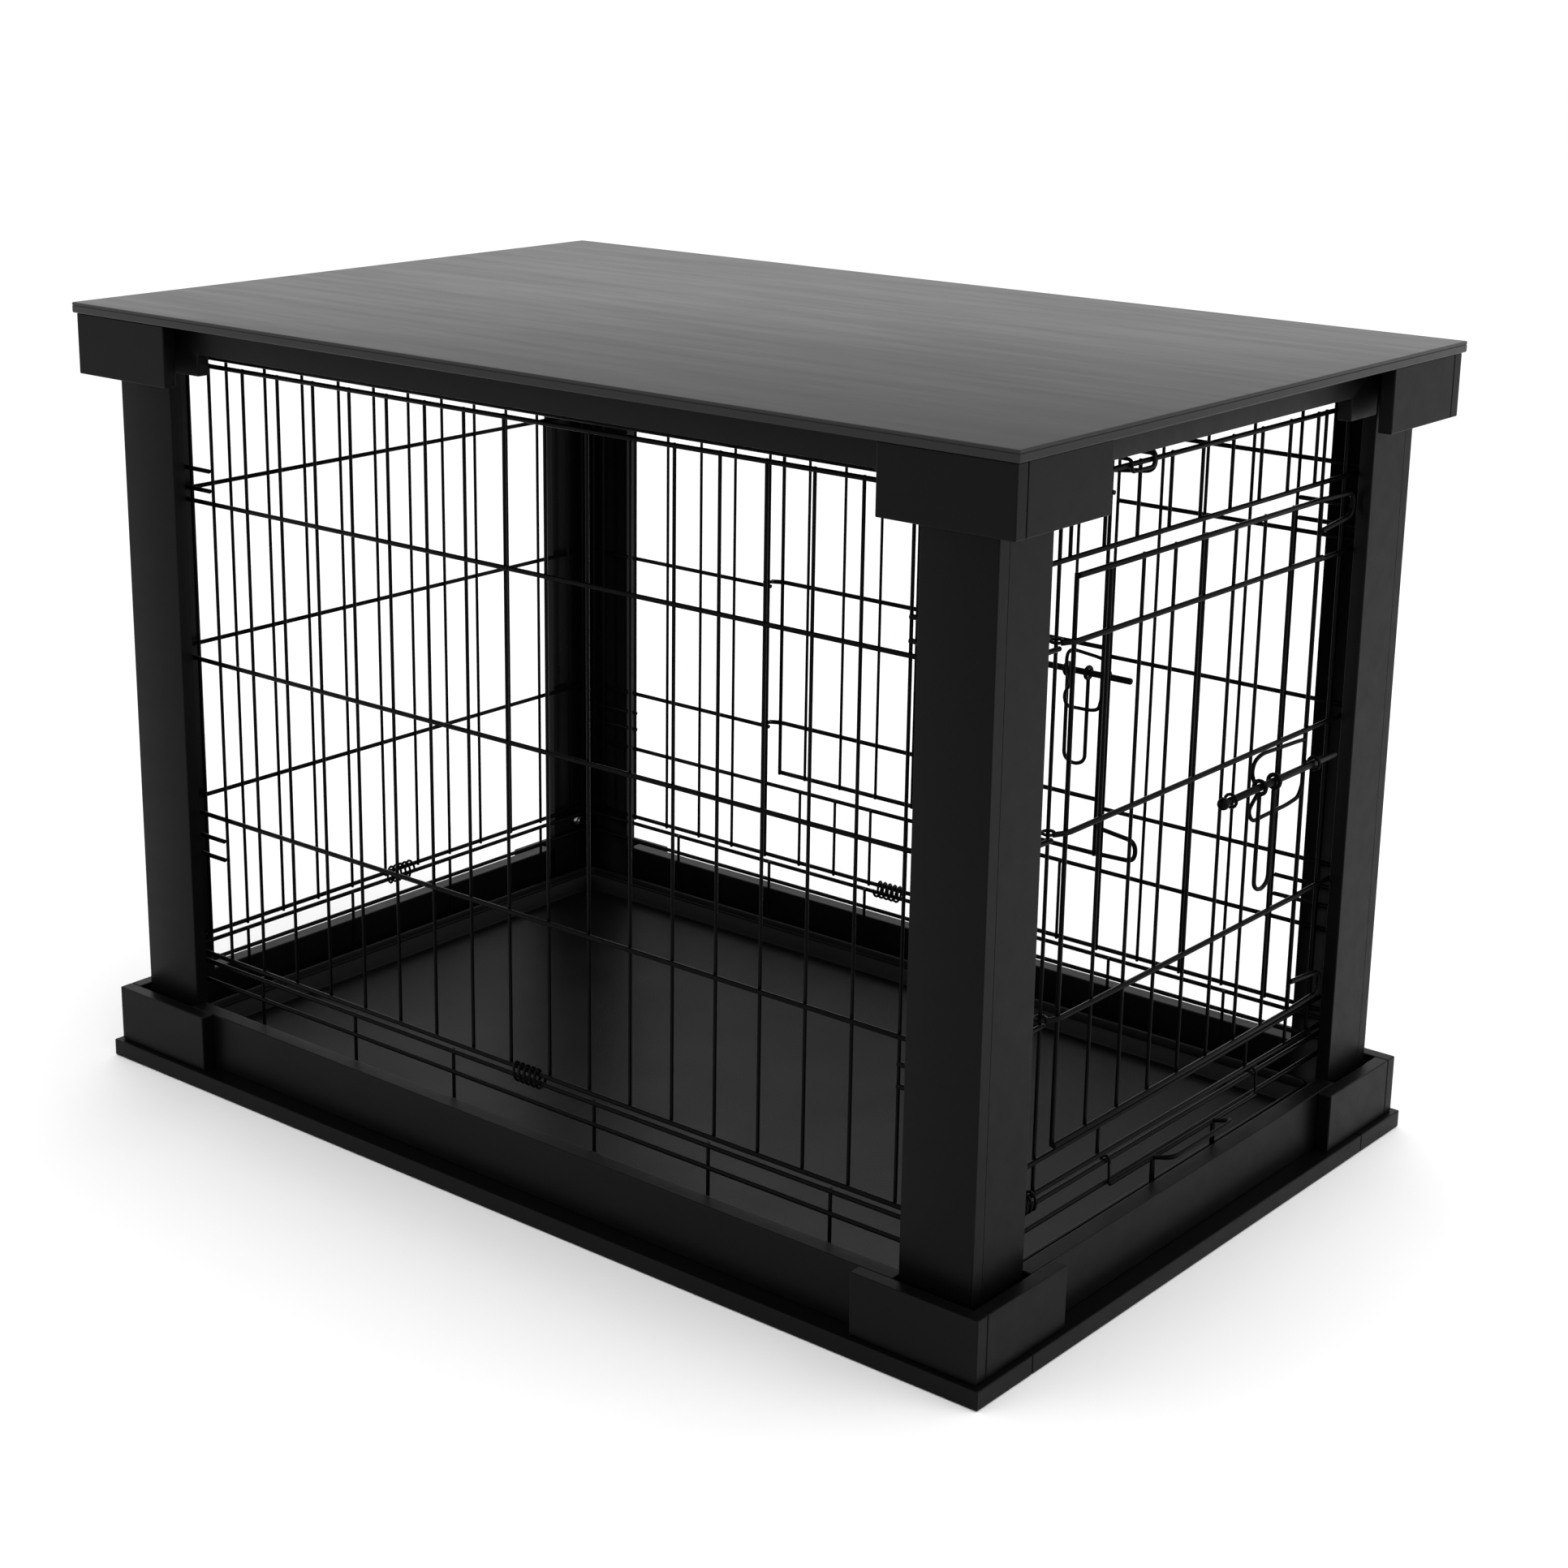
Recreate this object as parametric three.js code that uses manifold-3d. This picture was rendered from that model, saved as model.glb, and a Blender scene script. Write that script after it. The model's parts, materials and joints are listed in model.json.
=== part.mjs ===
// A folding two-door wire crate standing inside a furniture cover of painted board.
// Millimetres, +Z up, origin on the floor under the middle of the cover.
// -Y is the front (long) side, +X is the end with the small door.
import * as THREE from "three";
import { mergeVertices } from "three/addons/utils/BufferGeometryUtils.js";
import Module from "manifold-3d";

const wasm = await Module();
wasm.setup();

// ---------------------------------------------------------------- driving dimensions

// Cover
const LENGTH = 958; // of the top panel
const WIDTH = 626;
const HEIGHT = 678;
const BASE_INSET_AT_ENDS = 5; // the base is this much shorter than the top at each end
const BASE_INSET_AT_SIDES = 0;
const TOP_THICKNESS = 9;
const BOARD = 12; // corner boards, aprons and posts
const STRIP_THICKNESS = 15;
const STRIP_WIDTH = 68;
const RAIL_THICKNESS = 15;
const RAIL_HEIGHT = 49.7;
const CORNER_BOARD_LENGTH = 112;
const TOP_CORNER_DEPTH = 51;
const BASE_CORNER_HEIGHT = 50;
const TOP_OVERHANG = 2.7; // top panel past its corner boards
const BASE_LEDGE = 5.4; // base strips past their corner boards
const POST_LEG = 64;
const POST_CLEARANCE = 7; // between a post and the corner boards round its foot
const APRON_DEPTH = 24;
const APRON_TAB_DEPTH = 42;
const APRON_TAB_PAST_CORNER = 16;
const APRON_NOTCH_RADIUS = 4;
const SCREW_HEAD_RADIUS = 5;
const SCREW_HEAD_HEIGHT = 2;
const SCREW_ABOVE_RAIL = 24;
const GAP = 0.3; // between faces that touch

// Wire crate
const CRATE_END_CLEARANCE = 9.6; // between the posts and the wires of the crate's ends
const CRATE_SIDE_CLEARANCE = 11.6;
const CRATE_BELOW_TOP = 37; // from the top panel down to the walls' top wires
const PITCH = 42.8;
const MESH_WIRE = 2.6;
const FRAME_WIRE = 3.6;
const DOOR_WIRE = 4;
const WELD = 0.6; // how far crossing wires sink into each other
const LAST_GAP = 8; // the least space between the last upright of a pattern and its edge wire
const LIP_TOP = 98;
const LIP_MIDDLE = 80;
const FOOT_CLEARANCE = 0.2; // between a turning foot wire and the pan stop's eyes
const WALL_CLEARANCE = 0.4; // a folding wall passes the coils of its neighbours
const LOW_RAIL = 236;
const HIGH_RAIL_DROP = 117; // below the wall's top wire
const MIDDLE_RAIL_RISE = 0.5; // above halfway between the low and high rails
const UNDER_END_SILL = [-98, 120];
const LIP_PITCH = 118;
const LIP_START_LEFT = 104; // from the end of the frame to the first lip upright
const LIP_START_RIGHT = 123;
const COIL_TO_UPRIGHT = 3; // least space between a coil and the lip uprights beside it
const FLOOR_WIRES_ALONG = 5;
const FLOOR_WIRES_ACROSS = 7;
const COIL_CLEARANCE = 0.05; // round the two wires that a coil holds
const COIL_WALL = 2.4;
const COIL_LENGTH = 30;
const COIL_SIDES = 8;
const LONG_COILS = { front: [0], back: [PITCH] };
const CATCH_LENGTH = 55;
const LOW_CATCH = 207;
const HIGH_CATCH_DROP = 98; // below the wall's top wire

// Doors
const DOOR_CLEARANCE = 1.3; // between the door wires and the panel behind them
const DOOR_EYE_CLEARANCE = 1.5; // between a door's hinge eyes and the wall rails under them
const END_JAMB_FROM_EDGE = 72.8; // from the end wall's edge wire to its doorway
const END_DOOR_IN_JAMB = 12;
const END_SILL = 131;
const END_BOTTOM = 141;
const END_TOP_DROP = 66; // below the wall's top wire
const END_HEADER_DROP = 55;
const END_HOOK_CLEARANCE = 4.6; // between the door's hooks and the post beside them
const END_BOLT_PAST_JAMB = 22;
const END_DOOR_LAST_GAP = 30;
const SIDE_JAMB = 4.5 * PITCH;
const SIDE_DOOR_IN_JAMB = 11.6;
const SIDE_SILL = 178;
const SIDE_BOTTOM = 190;
const SIDE_TOP_DROP = 68;
const SIDE_HEADER_DROP = 56;
const SIDE_HOOK = 42;
const SIDE_BOLT_PAST_JAMB = 13.4;
const HINGE_EYE_RADIUS = 4.4;
const HINGE_EYE_WIRE = 2.4;
const HOOK_HEIGHT = 25;
const BOLT_BELOW_RAIL = 23; // under the middle rail
const END_BOLT_LENGTH = 174;
const SIDE_BOLT_LENGTH = 140;
const BOLT_DIAMETER = 6;
const BOLT_CLEARANCE = 1.2; // between the bolt and the door wires behind it
const BOLT_KNOB_RADIUS = 5;
const BOLT_KNOB_SPACE = 5; // between the knob and the first eye
const BOLT_EYE_CLEARANCE = 1;
const BOLT_EYE_WIRE = 2.8;
const END_HANDLE_FROM_TIP = 108;
const SIDE_HANDLE_FROM_TIP = 56;
const HANDLE_WIDTH = 22;
const HANDLE_DROP = 86;
const HANDLE_WIRE = 3.4;
const HANDLE_CLEARANCE = 0.5;

// Pan and its stop
const PAN_CLEARANCE = 9;
const PAN_DEPTH = 24;
const PAN_WALL = 3;
const STOP_WIRE = 4;
const STOP_LEVEL = 80;
const STOP_ENDS = [-90, 128];
const STOP_LEGS = [-28, 62];
const STOP_LEG_FOOT = 43;
const STOP_HANDLE_REACH = 18;
const STOP_CLEARANCE = 0.6; // between the stop and the lip wire it hangs in front of
const STOP_EYE_WIRE = 2.2;
const STOP_EYE_CLEARANCE = 0.1; // round the lip wire
const STOP_HANG_OUT = 0.4; // the hanging wires stand this much outside their eyes' middle line

// ---------------------------------------------------------------- materials and helpers

const blackPaint = new THREE.MeshStandardMaterial({ color: 0x17171a, roughness: 0.42 });
const blackWire = new THREE.MeshStandardMaterial({ color: 0x101012, roughness: 0.3, metalness: 0.5 });
const blackPlastic = new THREE.MeshStandardMaterial({ color: 0x121213, roughness: 0.5 });
const zinc = new THREE.MeshStandardMaterial({ color: 0x9a9a9c, roughness: 0.35, metalness: 1 });

const crate = new THREE.Group();

function addMesh(name, geometry, material) {
  const mesh = new THREE.Mesh(geometry, material.clone());
  mesh.name = name;
  crate.add(mesh);
}

function toSolid(geometry) {
  const bare = geometry.clone();
  bare.deleteAttribute("normal");
  bare.deleteAttribute("uv");
  const merged = mergeVertices(bare, 1e-4);
  const vertProperties = new Float32Array(merged.attributes.position.array);
  const triVerts = new Uint32Array(merged.index.array);
  return new wasm.Manifold(new wasm.Mesh({ numProp: 3, vertProperties, triVerts }));
}

function toGeometry(solid) {
  const mesh = solid.getMesh();
  const geometry = new THREE.BufferGeometry();
  geometry.setAttribute("position", new THREE.BufferAttribute(new Float32Array(mesh.vertProperties), 3));
  geometry.setIndex(new THREE.BufferAttribute(new Uint32Array(mesh.triVerts), 1));
  geometry.computeVertexNormals();
  return geometry;
}

function joined(geometries) {
  return toGeometry(geometries.map(toSolid).reduce((all, one) => all.add(one)));
}

// A box between two corners, in any order.
function block(a, b) {
  const size = a.map((value, i) => Math.abs(b[i] - value));
  const middle = a.map((value, i) => (b[i] + value) / 2);
  return new THREE.BoxGeometry(...size).translate(...middle);
}

// A straight wire along one axis, of square section, through the point at.
function wire(axis, at, from, to, diameter) {
  const low = at.map((value) => value - diameter / 2);
  const high = at.map((value) => value + diameter / 2);
  low[axis] = from;
  high[axis] = to;
  return block(low, high);
}

// A bent round rod through a list of points.
function bentRod(points, diameter, steps, sides = 6) {
  const path = new THREE.CatmullRomCurve3(points.map((p) => new THREE.Vector3(...p)), false, "centripetal");
  const outline = Array.from({ length: sides }, (_, i) => {
    const turn = (i / sides) * 2 * Math.PI;
    return new THREE.Vector2((Math.cos(turn) * diameter) / 2, (Math.sin(turn) * diameter) / 2);
  });
  return new THREE.ExtrudeGeometry(new THREE.Shape(outline), { steps, extrudePath: path, bevelEnabled: false });
}

// How many places fit between two edges with none in the middle, and with one in the middle.
function evenCount(half, lastGap) {
  return 2 * Math.floor((half - lastGap) / PITCH + 0.5);
}

function oddCount(half, lastGap) {
  return 2 * Math.floor((half - lastGap) / PITCH) + 1;
}

// Equally spaced places, the same either side of zero.
function spread(count, pitch) {
  return Array.from({ length: count }, (_, i) => (i - (count - 1) / 2) * pitch);
}

const X = 0;
const Y = 1;
const Z = 2;

// ---------------------------------------------------------------- derived places of the cover

const topUnderside = HEIGHT - TOP_THICKNESS;
const topCornerX = LENGTH / 2 - TOP_OVERHANG;
const topCornerY = WIDTH / 2 - TOP_OVERHANG;
const baseX = LENGTH / 2 - BASE_INSET_AT_ENDS;
const baseY = WIDTH / 2 - BASE_INSET_AT_SIDES;
const baseCornerX = baseX - BASE_LEDGE;
const baseCornerY = baseY - BASE_LEDGE;
const postX = baseCornerX - BOARD - POST_CLEARANCE;
const postY = baseCornerY - BOARD - POST_CLEARANCE;
const floorOfBase = STRIP_THICKNESS + GAP;
const railTop = floorOfBase + RAIL_HEIGHT;
const corners = [
  ["front_left", -1, -1],
  ["front_right", 1, -1],
  ["back_left", -1, 1],
  ["back_right", 1, 1],
];

// ---------------------------------------------------------------- cover

function makeTop() {
  const x = LENGTH / 2;
  const y = WIDTH / 2;
  addMesh("top_panel", block([-x, -y, topUnderside], [x, y, HEIGHT]), blackPaint);
}

// Two boards meet at each corner: the long-side board runs to the corner and the other butts it.
function makeCornerBoards(prefix, cornerX, cornerY, low, high) {
  for (const [place, sx, sy] of corners) {
    const longSide = block(
      [sx * cornerX, sy * cornerY, low],
      [sx * (cornerX - CORNER_BOARD_LENGTH), sy * (cornerY - BOARD), high],
    );
    const endSide = block(
      [sx * cornerX, sy * (cornerY - BOARD - GAP), low],
      [sx * (cornerX - BOARD), sy * (cornerY - CORNER_BOARD_LENGTH), high],
    );
    addMesh(`${prefix}_corner_${place}_long`, longSide, blackPaint);
    addMesh(`${prefix}_corner_${place}_end`, endSide, blackPaint);
  }
}

// An apron's outline: shallow along its middle, with a deeper tab at each end.
function apronGeometry(halfLength, halfNotch) {
  const top = topUnderside - GAP;
  const edge = top - APRON_DEPTH;
  const tab = top - APRON_TAB_DEPTH;
  const r = APRON_NOTCH_RADIUS;
  const outline = new THREE.Shape();
  outline.moveTo(-halfLength, tab);
  outline.lineTo(-halfNotch, tab);
  outline.lineTo(-halfNotch, edge - r);
  outline.absarc(-halfNotch + r, edge - r, r, Math.PI, Math.PI / 2, true);
  outline.lineTo(halfNotch - r, edge);
  outline.absarc(halfNotch - r, edge - r, r, Math.PI / 2, 0, true);
  outline.lineTo(halfNotch, tab);
  outline.lineTo(halfLength, tab);
  outline.lineTo(halfLength, top);
  outline.lineTo(-halfLength, top);
  outline.closePath();
  const plate = new THREE.ExtrudeGeometry(outline, { depth: BOARD, bevelEnabled: false, curveSegments: 3 });
  return plate.rotateX(Math.PI / 2).translate(0, BOARD, 0); // stands along X, from y = 0 to BOARD
}

function makeAprons() {
  const longHalf = postX - POST_LEG - GAP;
  const longNotch = topCornerX - CORNER_BOARD_LENGTH - APRON_TAB_PAST_CORNER;
  const shortHalf = postY - POST_LEG - GAP;
  const shortNotch = topCornerY - CORNER_BOARD_LENGTH - APRON_TAB_PAST_CORNER;
  const quarter = Math.PI / 2;
  addMesh("apron_front", apronGeometry(longHalf, longNotch).translate(0, -postY, 0), blackPaint);
  addMesh("apron_back", apronGeometry(longHalf, longNotch).translate(0, postY - BOARD, 0), blackPaint);
  const left = apronGeometry(shortHalf, shortNotch).rotateZ(quarter).translate(-postX + BOARD, 0, 0);
  const right = apronGeometry(shortHalf, shortNotch).rotateZ(quarter).translate(postX, 0, 0);
  addMesh("apron_left", left, blackPaint);
  addMesh("apron_right", right, blackPaint);
}

// Each post is two boards glued into an L that opens towards the crate.
function makePosts() {
  for (const [place, sx, sy] of corners) {
    const inner = [
      [0, 0],
      [POST_LEG, 0],
      [POST_LEG, BOARD],
      [BOARD, BOARD],
      [BOARD, POST_LEG],
      [0, POST_LEG],
    ].map(([x, y]) => new THREE.Vector2(sx * (postX - x), sy * (postY - y)));
    const height = topUnderside - GAP - floorOfBase;
    const post = new THREE.ExtrudeGeometry(new THREE.Shape(inner), { depth: height, bevelEnabled: false });
    addMesh(`post_${place}`, post.translate(0, 0, floorOfBase), blackPaint);
    const head = new THREE.CylinderGeometry(SCREW_HEAD_RADIUS, SCREW_HEAD_RADIUS, SCREW_HEAD_HEIGHT, 10);
    head.rotateZ(Math.PI / 2);
    const headX = postX - BOARD - GAP - SCREW_HEAD_HEIGHT / 2;
    head.translate(sx * headX, sy * (postY - POST_LEG / 2), railTop + SCREW_ABOVE_RAIL);
    addMesh(`post_screw_${place}`, head, zinc);
  }
}

function makeBase() {
  const x = baseX;
  const y = baseY;
  const butt = y - STRIP_WIDTH - GAP;
  const rail = { low: floorOfBase, high: railTop };
  const railLong = postX - POST_LEG - GAP;
  const railShort = postY - POST_LEG - GAP;
  const railFaceY = baseCornerY - BOARD - GAP;
  const railFaceX = baseCornerX - BOARD - GAP;
  for (const [place, side] of [["front", -1], ["back", 1]]) {
    const strip = block([-x, side * y, 0], [x, side * (y - STRIP_WIDTH), STRIP_THICKNESS]);
    addMesh(`base_strip_${place}`, strip, blackPaint);
    const board = block(
      [-railLong, side * railFaceY, rail.low],
      [railLong, side * (railFaceY - RAIL_THICKNESS), rail.high],
    );
    addMesh(`base_rail_${place}`, board, blackPaint);
  }
  for (const [place, side] of [["left", -1], ["right", 1]]) {
    const strip = block([side * x, -butt, 0], [side * (x - STRIP_WIDTH), butt, STRIP_THICKNESS]);
    addMesh(`base_strip_${place}`, strip, blackPaint);
    const board = block(
      [side * railFaceX, -railShort, rail.low],
      [side * (railFaceX - RAIL_THICKNESS), railShort, rail.high],
    );
    addMesh(`base_rail_${place}`, board, blackPaint);
  }
}

// ---------------------------------------------------------------- wire crate, derived places

const endX = postX - BOARD - CRATE_END_CLEARANCE;
const sideY = postY - BOARD - CRATE_SIDE_CLEARANCE;
const wallTop = topUnderside - CRATE_BELOW_TOP;
const highRail = wallTop - HIGH_RAIL_DROP;
const middleRail = (LOW_RAIL + highRail) / 2 + MIDDLE_RAIL_RISE;
const railLevels = [LOW_RAIL, middleRail, highRail];
const catchLevels = [LOW_CATCH, wallTop - HIGH_CATCH_DROP];
const frameCorner = FRAME_WIRE * Math.SQRT1_2; // from a frame wire's middle to its edge
const railOut = MESH_WIRE / 2 + FRAME_WIRE / 2 - WELD; // frame wires lie outside the mesh wires
const stopEyeRadius = frameCorner + STOP_EYE_CLEARANCE + STOP_EYE_WIRE / 2;
const footLevel = LIP_TOP + stopEyeRadius + STOP_EYE_WIRE / 2 + frameCorner + FOOT_CLEARANCE;
const coilInner = (footLevel - LIP_TOP) / 2 + frameCorner / Math.cos(Math.PI / COIL_SIDES) + COIL_CLEARANCE;
const coilOuter = coilInner + COIL_WALL;
const wallInset = coilOuter - railOut + MESH_WIRE / 2 + WALL_CLEARANCE; // from a corner to a wall's edge wire
const floorWire = floorOfBase + DOOR_WIRE / 2;
const panLow = floorWire + DOOR_WIRE / 2 + MESH_WIRE / 2 + GAP;
const doorMeshOut = railOut + FRAME_WIRE / 2 + DOOR_CLEARANCE + MESH_WIRE / 2;
const doorRailOut = doorMeshOut + MESH_WIRE / 2 + DOOR_WIRE / 2 - WELD;
const doorAboveRail = FRAME_WIRE / 2 + DOOR_EYE_CLEARANCE + HINGE_EYE_WIRE / 2;
const boltOut = doorRailOut + DOOR_WIRE / 2 + BOLT_CLEARANCE + BOLT_DIAMETER / 2;
const boltLevel = middleRail - BOLT_BELOW_RAIL;
const boltEyeRadius = BOLT_DIAMETER / 2 + BOLT_EYE_CLEARANCE + BOLT_EYE_WIRE / 2;
const longHalf = endX - wallInset;
const shortHalf = sideY - wallInset;
const longPlaces = spread(evenCount(longHalf, LAST_GAP), PITCH);

// The places of a door's bolt: its tip, its start, the handle, and the two eyes that it runs in.
function withBolt(door) {
  const tip = door.jamb + door.boltPastJamb;
  const start = tip - door.boltLength;
  const clearOfKnob = start + BOLT_KNOB_RADIUS + BOLT_KNOB_SPACE;
  const firstEye = spread(door.uprights, PITCH).find((place) => place > clearOfKnob);
  return { ...door, tip, start, handleAt: tip - door.handleFromTip, eyes: [firstEye, door.half] };
}

// hand is 1 where the latch is on the right, seen from outside, and -1 where it is on the left.
const endJamb = shortHalf - END_JAMB_FROM_EDGE;
const endHalf = endJamb - END_DOOR_IN_JAMB;
const endDoor = withBolt({
  hand: 1,
  half: endHalf,
  jamb: endJamb,
  bottom: END_BOTTOM,
  top: wallTop - END_TOP_DROP,
  sill: END_SILL,
  header: wallTop - END_HEADER_DROP,
  hook: postY - POST_LEG - END_HOOK_CLEARANCE - endHalf,
  uprights: oddCount(endHalf, END_DOOR_LAST_GAP),
  boltLength: END_BOLT_LENGTH,
  boltPastJamb: END_BOLT_PAST_JAMB,
  handleFromTip: END_HANDLE_FROM_TIP,
});
const sideHalf = SIDE_JAMB - SIDE_DOOR_IN_JAMB;
const sideDoor = withBolt({
  hand: -1,
  half: sideHalf,
  jamb: SIDE_JAMB,
  bottom: SIDE_BOTTOM,
  top: wallTop - SIDE_TOP_DROP,
  sill: SIDE_SILL,
  header: wallTop - SIDE_HEADER_DROP,
  hook: SIDE_HOOK,
  uprights: evenCount(sideHalf, LAST_GAP),
  boltLength: SIDE_BOLT_LENGTH,
  boltPastJamb: SIDE_BOLT_PAST_JAMB,
  handleFromTip: SIDE_HANDLE_FROM_TIP,
});

// A panel is drawn as if it stood in the XZ plane with its outside towards -Y, then turned and moved.
function wallWire(axis, out, level, from, to, diameter) {
  const at = axis === X ? [0, -out, level] : [level, -out, 0];
  return wire(axis, at, from, to, diameter);
}

// Turns a wall to face the given side and moves it there.
function standWall(geometry, side) {
  const turn = { front: 0, right: Math.PI / 2, back: Math.PI, left: -Math.PI / 2 }[side];
  const alongX = { front: 0, right: endX, back: 0, left: -endX }[side];
  const alongY = { front: -sideY, right: 0, back: sideY, left: 0 }[side];
  return geometry.rotateZ(turn).translate(alongX, alongY, 0);
}

// The wires of a plain wall: two edge wires, mesh wires between them, and rails across.
function plainWall(half, places) {
  const top = wallTop + FRAME_WIRE / 2;
  const bottom = footLevel - FRAME_WIRE / 2;
  const uprights = [-half, ...places, half].map((place) => wallWire(Z, 0, place, bottom, top, MESH_WIRE));
  const reach = half + MESH_WIRE / 2;
  const rails = [footLevel, ...railLevels, wallTop];
  return uprights.concat(rails.map((level) => wallWire(X, railOut, level, -reach, reach, FRAME_WIRE)));
}

// The wires of a wall with a doorway.
function doorWall(half, places, door, underSill) {
  const top = wallTop + FRAME_WIRE / 2;
  const bottom = footLevel - FRAME_WIRE / 2;
  const reach = half + MESH_WIRE / 2;
  const wires = [];
  for (const place of [-half, ...places, half]) {
    if (Math.abs(place) < door.jamb - 1) {
      wires.push(wallWire(Z, 0, place, door.header - FRAME_WIRE / 2, top, MESH_WIRE));
    } else {
      wires.push(wallWire(Z, 0, place, bottom, top, MESH_WIRE));
    }
  }
  for (const place of underSill) {
    wires.push(wallWire(Z, 0, place, bottom, door.sill + FRAME_WIRE / 2, MESH_WIRE));
  }
  for (const level of [footLevel, door.sill, door.header, wallTop]) {
    wires.push(wallWire(X, railOut, level, -reach, reach, FRAME_WIRE));
  }
  for (const level of railLevels) {
    const inner = door.jamb - MESH_WIRE / 2;
    wires.push(wallWire(X, railOut, level, -reach, -inner, FRAME_WIRE));
    wires.push(wallWire(X, railOut, level, inner, reach, FRAME_WIRE));
  }
  return wires;
}

// Short wires at both edges of a long wall, where the end walls hook on.
function catches(half) {
  return catchLevels.flatMap((level) => [
    wallWire(X, railOut, level, -half, -half + CATCH_LENGTH, MESH_WIRE + 1),
    wallWire(X, railOut, level, half - CATCH_LENGTH, half, MESH_WIRE + 1),
  ]);
}

const besideJamb = (endDoor.jamb + shortHalf) / 2; // the upright between the doorway and the wall's edge
const besideEndDoor = [-1, 1].flatMap((s) => [s * endDoor.jamb, s * besideJamb]);
const coils = { ...LONG_COILS, left: [0], right: [-(endDoor.jamb + besideJamb) / 2] };

function makeWalls() {
  const front = plainWall(longHalf, longPlaces).concat(catches(longHalf));
  addMesh("front_wall", standWall(joined(front), "front"), blackWire);
  const underSideDoor = longPlaces.filter((place) => Math.abs(place) < sideDoor.jamb - 1);
  const back = doorWall(longHalf, longPlaces, sideDoor, underSideDoor).concat(catches(longHalf));
  addMesh("back_wall", standWall(joined(back), "back"), blackWire);
  const left = plainWall(shortHalf, spread(evenCount(shortHalf, LAST_GAP), PITCH));
  addMesh("left_wall", standWall(joined(left), "left"), blackWire);
  const places = besideEndDoor.concat(spread(oddCount(endDoor.jamb, LAST_GAP), PITCH));
  const right = doorWall(shortHalf, places, endDoor, UNDER_END_SILL);
  addMesh("right_wall", standWall(joined(right), "right"), blackWire);
}

// The tray-shaped floor frame: a grid with a low lip all round. The door end's lip is open under its
// rails, where the pan goes in.
function makeFloorFrame() {
  const wires = [];
  const low = floorWire - DOOR_WIRE / 2;
  for (const side of [-1, 1]) {
    wires.push(wire(X, [0, side * sideY, floorWire], -endX, endX, DOOR_WIRE));
    wires.push(wire(Y, [side * endX, 0, floorWire], -sideY - DOOR_WIRE / 2, sideY + DOOR_WIRE / 2, DOOR_WIRE));
  }
  const across = (2 * sideY) / (FLOOR_WIRES_ALONG + 1);
  for (const place of spread(FLOOR_WIRES_ALONG, across)) {
    wires.push(wire(X, [0, place, floorWire], -endX, endX, MESH_WIRE));
  }
  const along = (2 * endX) / (FLOOR_WIRES_ACROSS + 1);
  const crossLevel = floorWire + MESH_WIRE - WELD;
  for (const place of spread(FLOOR_WIRES_ACROSS, along)) {
    wires.push(wire(Y, [place, 0, crossLevel], -sideY, sideY, MESH_WIRE));
  }
  const lipLevels = [LIP_MIDDLE, LIP_TOP];
  const coilReach = Math.max(...[...LONG_COILS.front, ...LONG_COILS.back].map(Math.abs)) + COIL_LENGTH / 2;
  const leftFree = coilReach + COIL_TO_UPRIGHT; // either side of the middle, where the coils go
  const lipPlaces = [[-1, LIP_START_LEFT], [1, LIP_START_RIGHT]].flatMap(([side, start]) => {
    const count = 1 + Math.floor((endX - start - leftFree) / LIP_PITCH);
    return Array.from({ length: count }, (_, i) => side * (endX - start - i * LIP_PITCH));
  });
  for (const side of [-1, 1]) {
    for (const place of lipPlaces.map((p) => -side * p)) {
      wires.push(wire(Z, [place, side * sideY, 0], low, LIP_TOP + FRAME_WIRE / 2, MESH_WIRE));
    }
    for (const end of [-1, 1]) {
      wires.push(wire(Z, [end * endX, side * sideY, 0], low, LIP_TOP + FRAME_WIRE / 2, DOOR_WIRE));
    }
    for (const level of lipLevels) {
      wires.push(wire(X, [0, side * (sideY + railOut), level], -endX, endX, FRAME_WIRE));
      wires.push(wire(Y, [side * (endX + railOut), 0, level], -sideY, sideY, FRAME_WIRE));
    }
  }
  for (const place of spread(4, 3 * PITCH)) {
    wires.push(wire(Z, [-endX, place, 0], low, LIP_TOP + FRAME_WIRE / 2, MESH_WIRE));
  }
  addMesh("floor_frame", joined(wires), blackWire);
}

function makeTopGrid() {
  const level = wallTop + FRAME_WIRE / 2 + GAP + FRAME_WIRE / 2 + 0.6;
  const y = shortHalf;
  const x = longHalf;
  const wires = [-x, ...longPlaces, x].map((place) => {
    return wire(Y, [place, 0, level + MESH_WIRE], -y, y, MESH_WIRE);
  });
  for (const place of [-y, 0, y]) {
    wires.push(wire(X, [0, place, level], -x - 1, x + 1, FRAME_WIRE));
  }
  addMesh("top_grid", joined(wires), blackWire);
}

// A coil is a short sleeve round a wall's foot wire and the lip wire under it.
function makeCoils() {
  const middle = (LIP_TOP + footLevel) / 2;
  for (const [side, places] of Object.entries(coils)) {
    places.forEach((place, i) => {
      const shell = new THREE.CylinderGeometry(coilOuter, coilOuter, COIL_LENGTH, COIL_SIDES).rotateZ(Math.PI / 2);
      const hole = new THREE.CylinderGeometry(coilInner, coilInner, COIL_LENGTH + 2, COIL_SIDES).rotateZ(Math.PI / 2);
      const sleeve = toGeometry(toSolid(shell).subtract(toSolid(hole)));
      sleeve.translate(place, -railOut, middle);
      addMesh(`coil_${side}_${i + 1}`, standWall(sleeve, side), blackWire);
    });
  }
}

// ---------------------------------------------------------------- doors, bolts and handles

// A ring round an upright wire, or round the bolt.
function eye(radius, tube, axis) {
  const ring = new THREE.TorusGeometry(radius, tube / 2, 4, 8);
  return axis === Z ? ring : ring.rotateY(Math.PI / 2);
}

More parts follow.
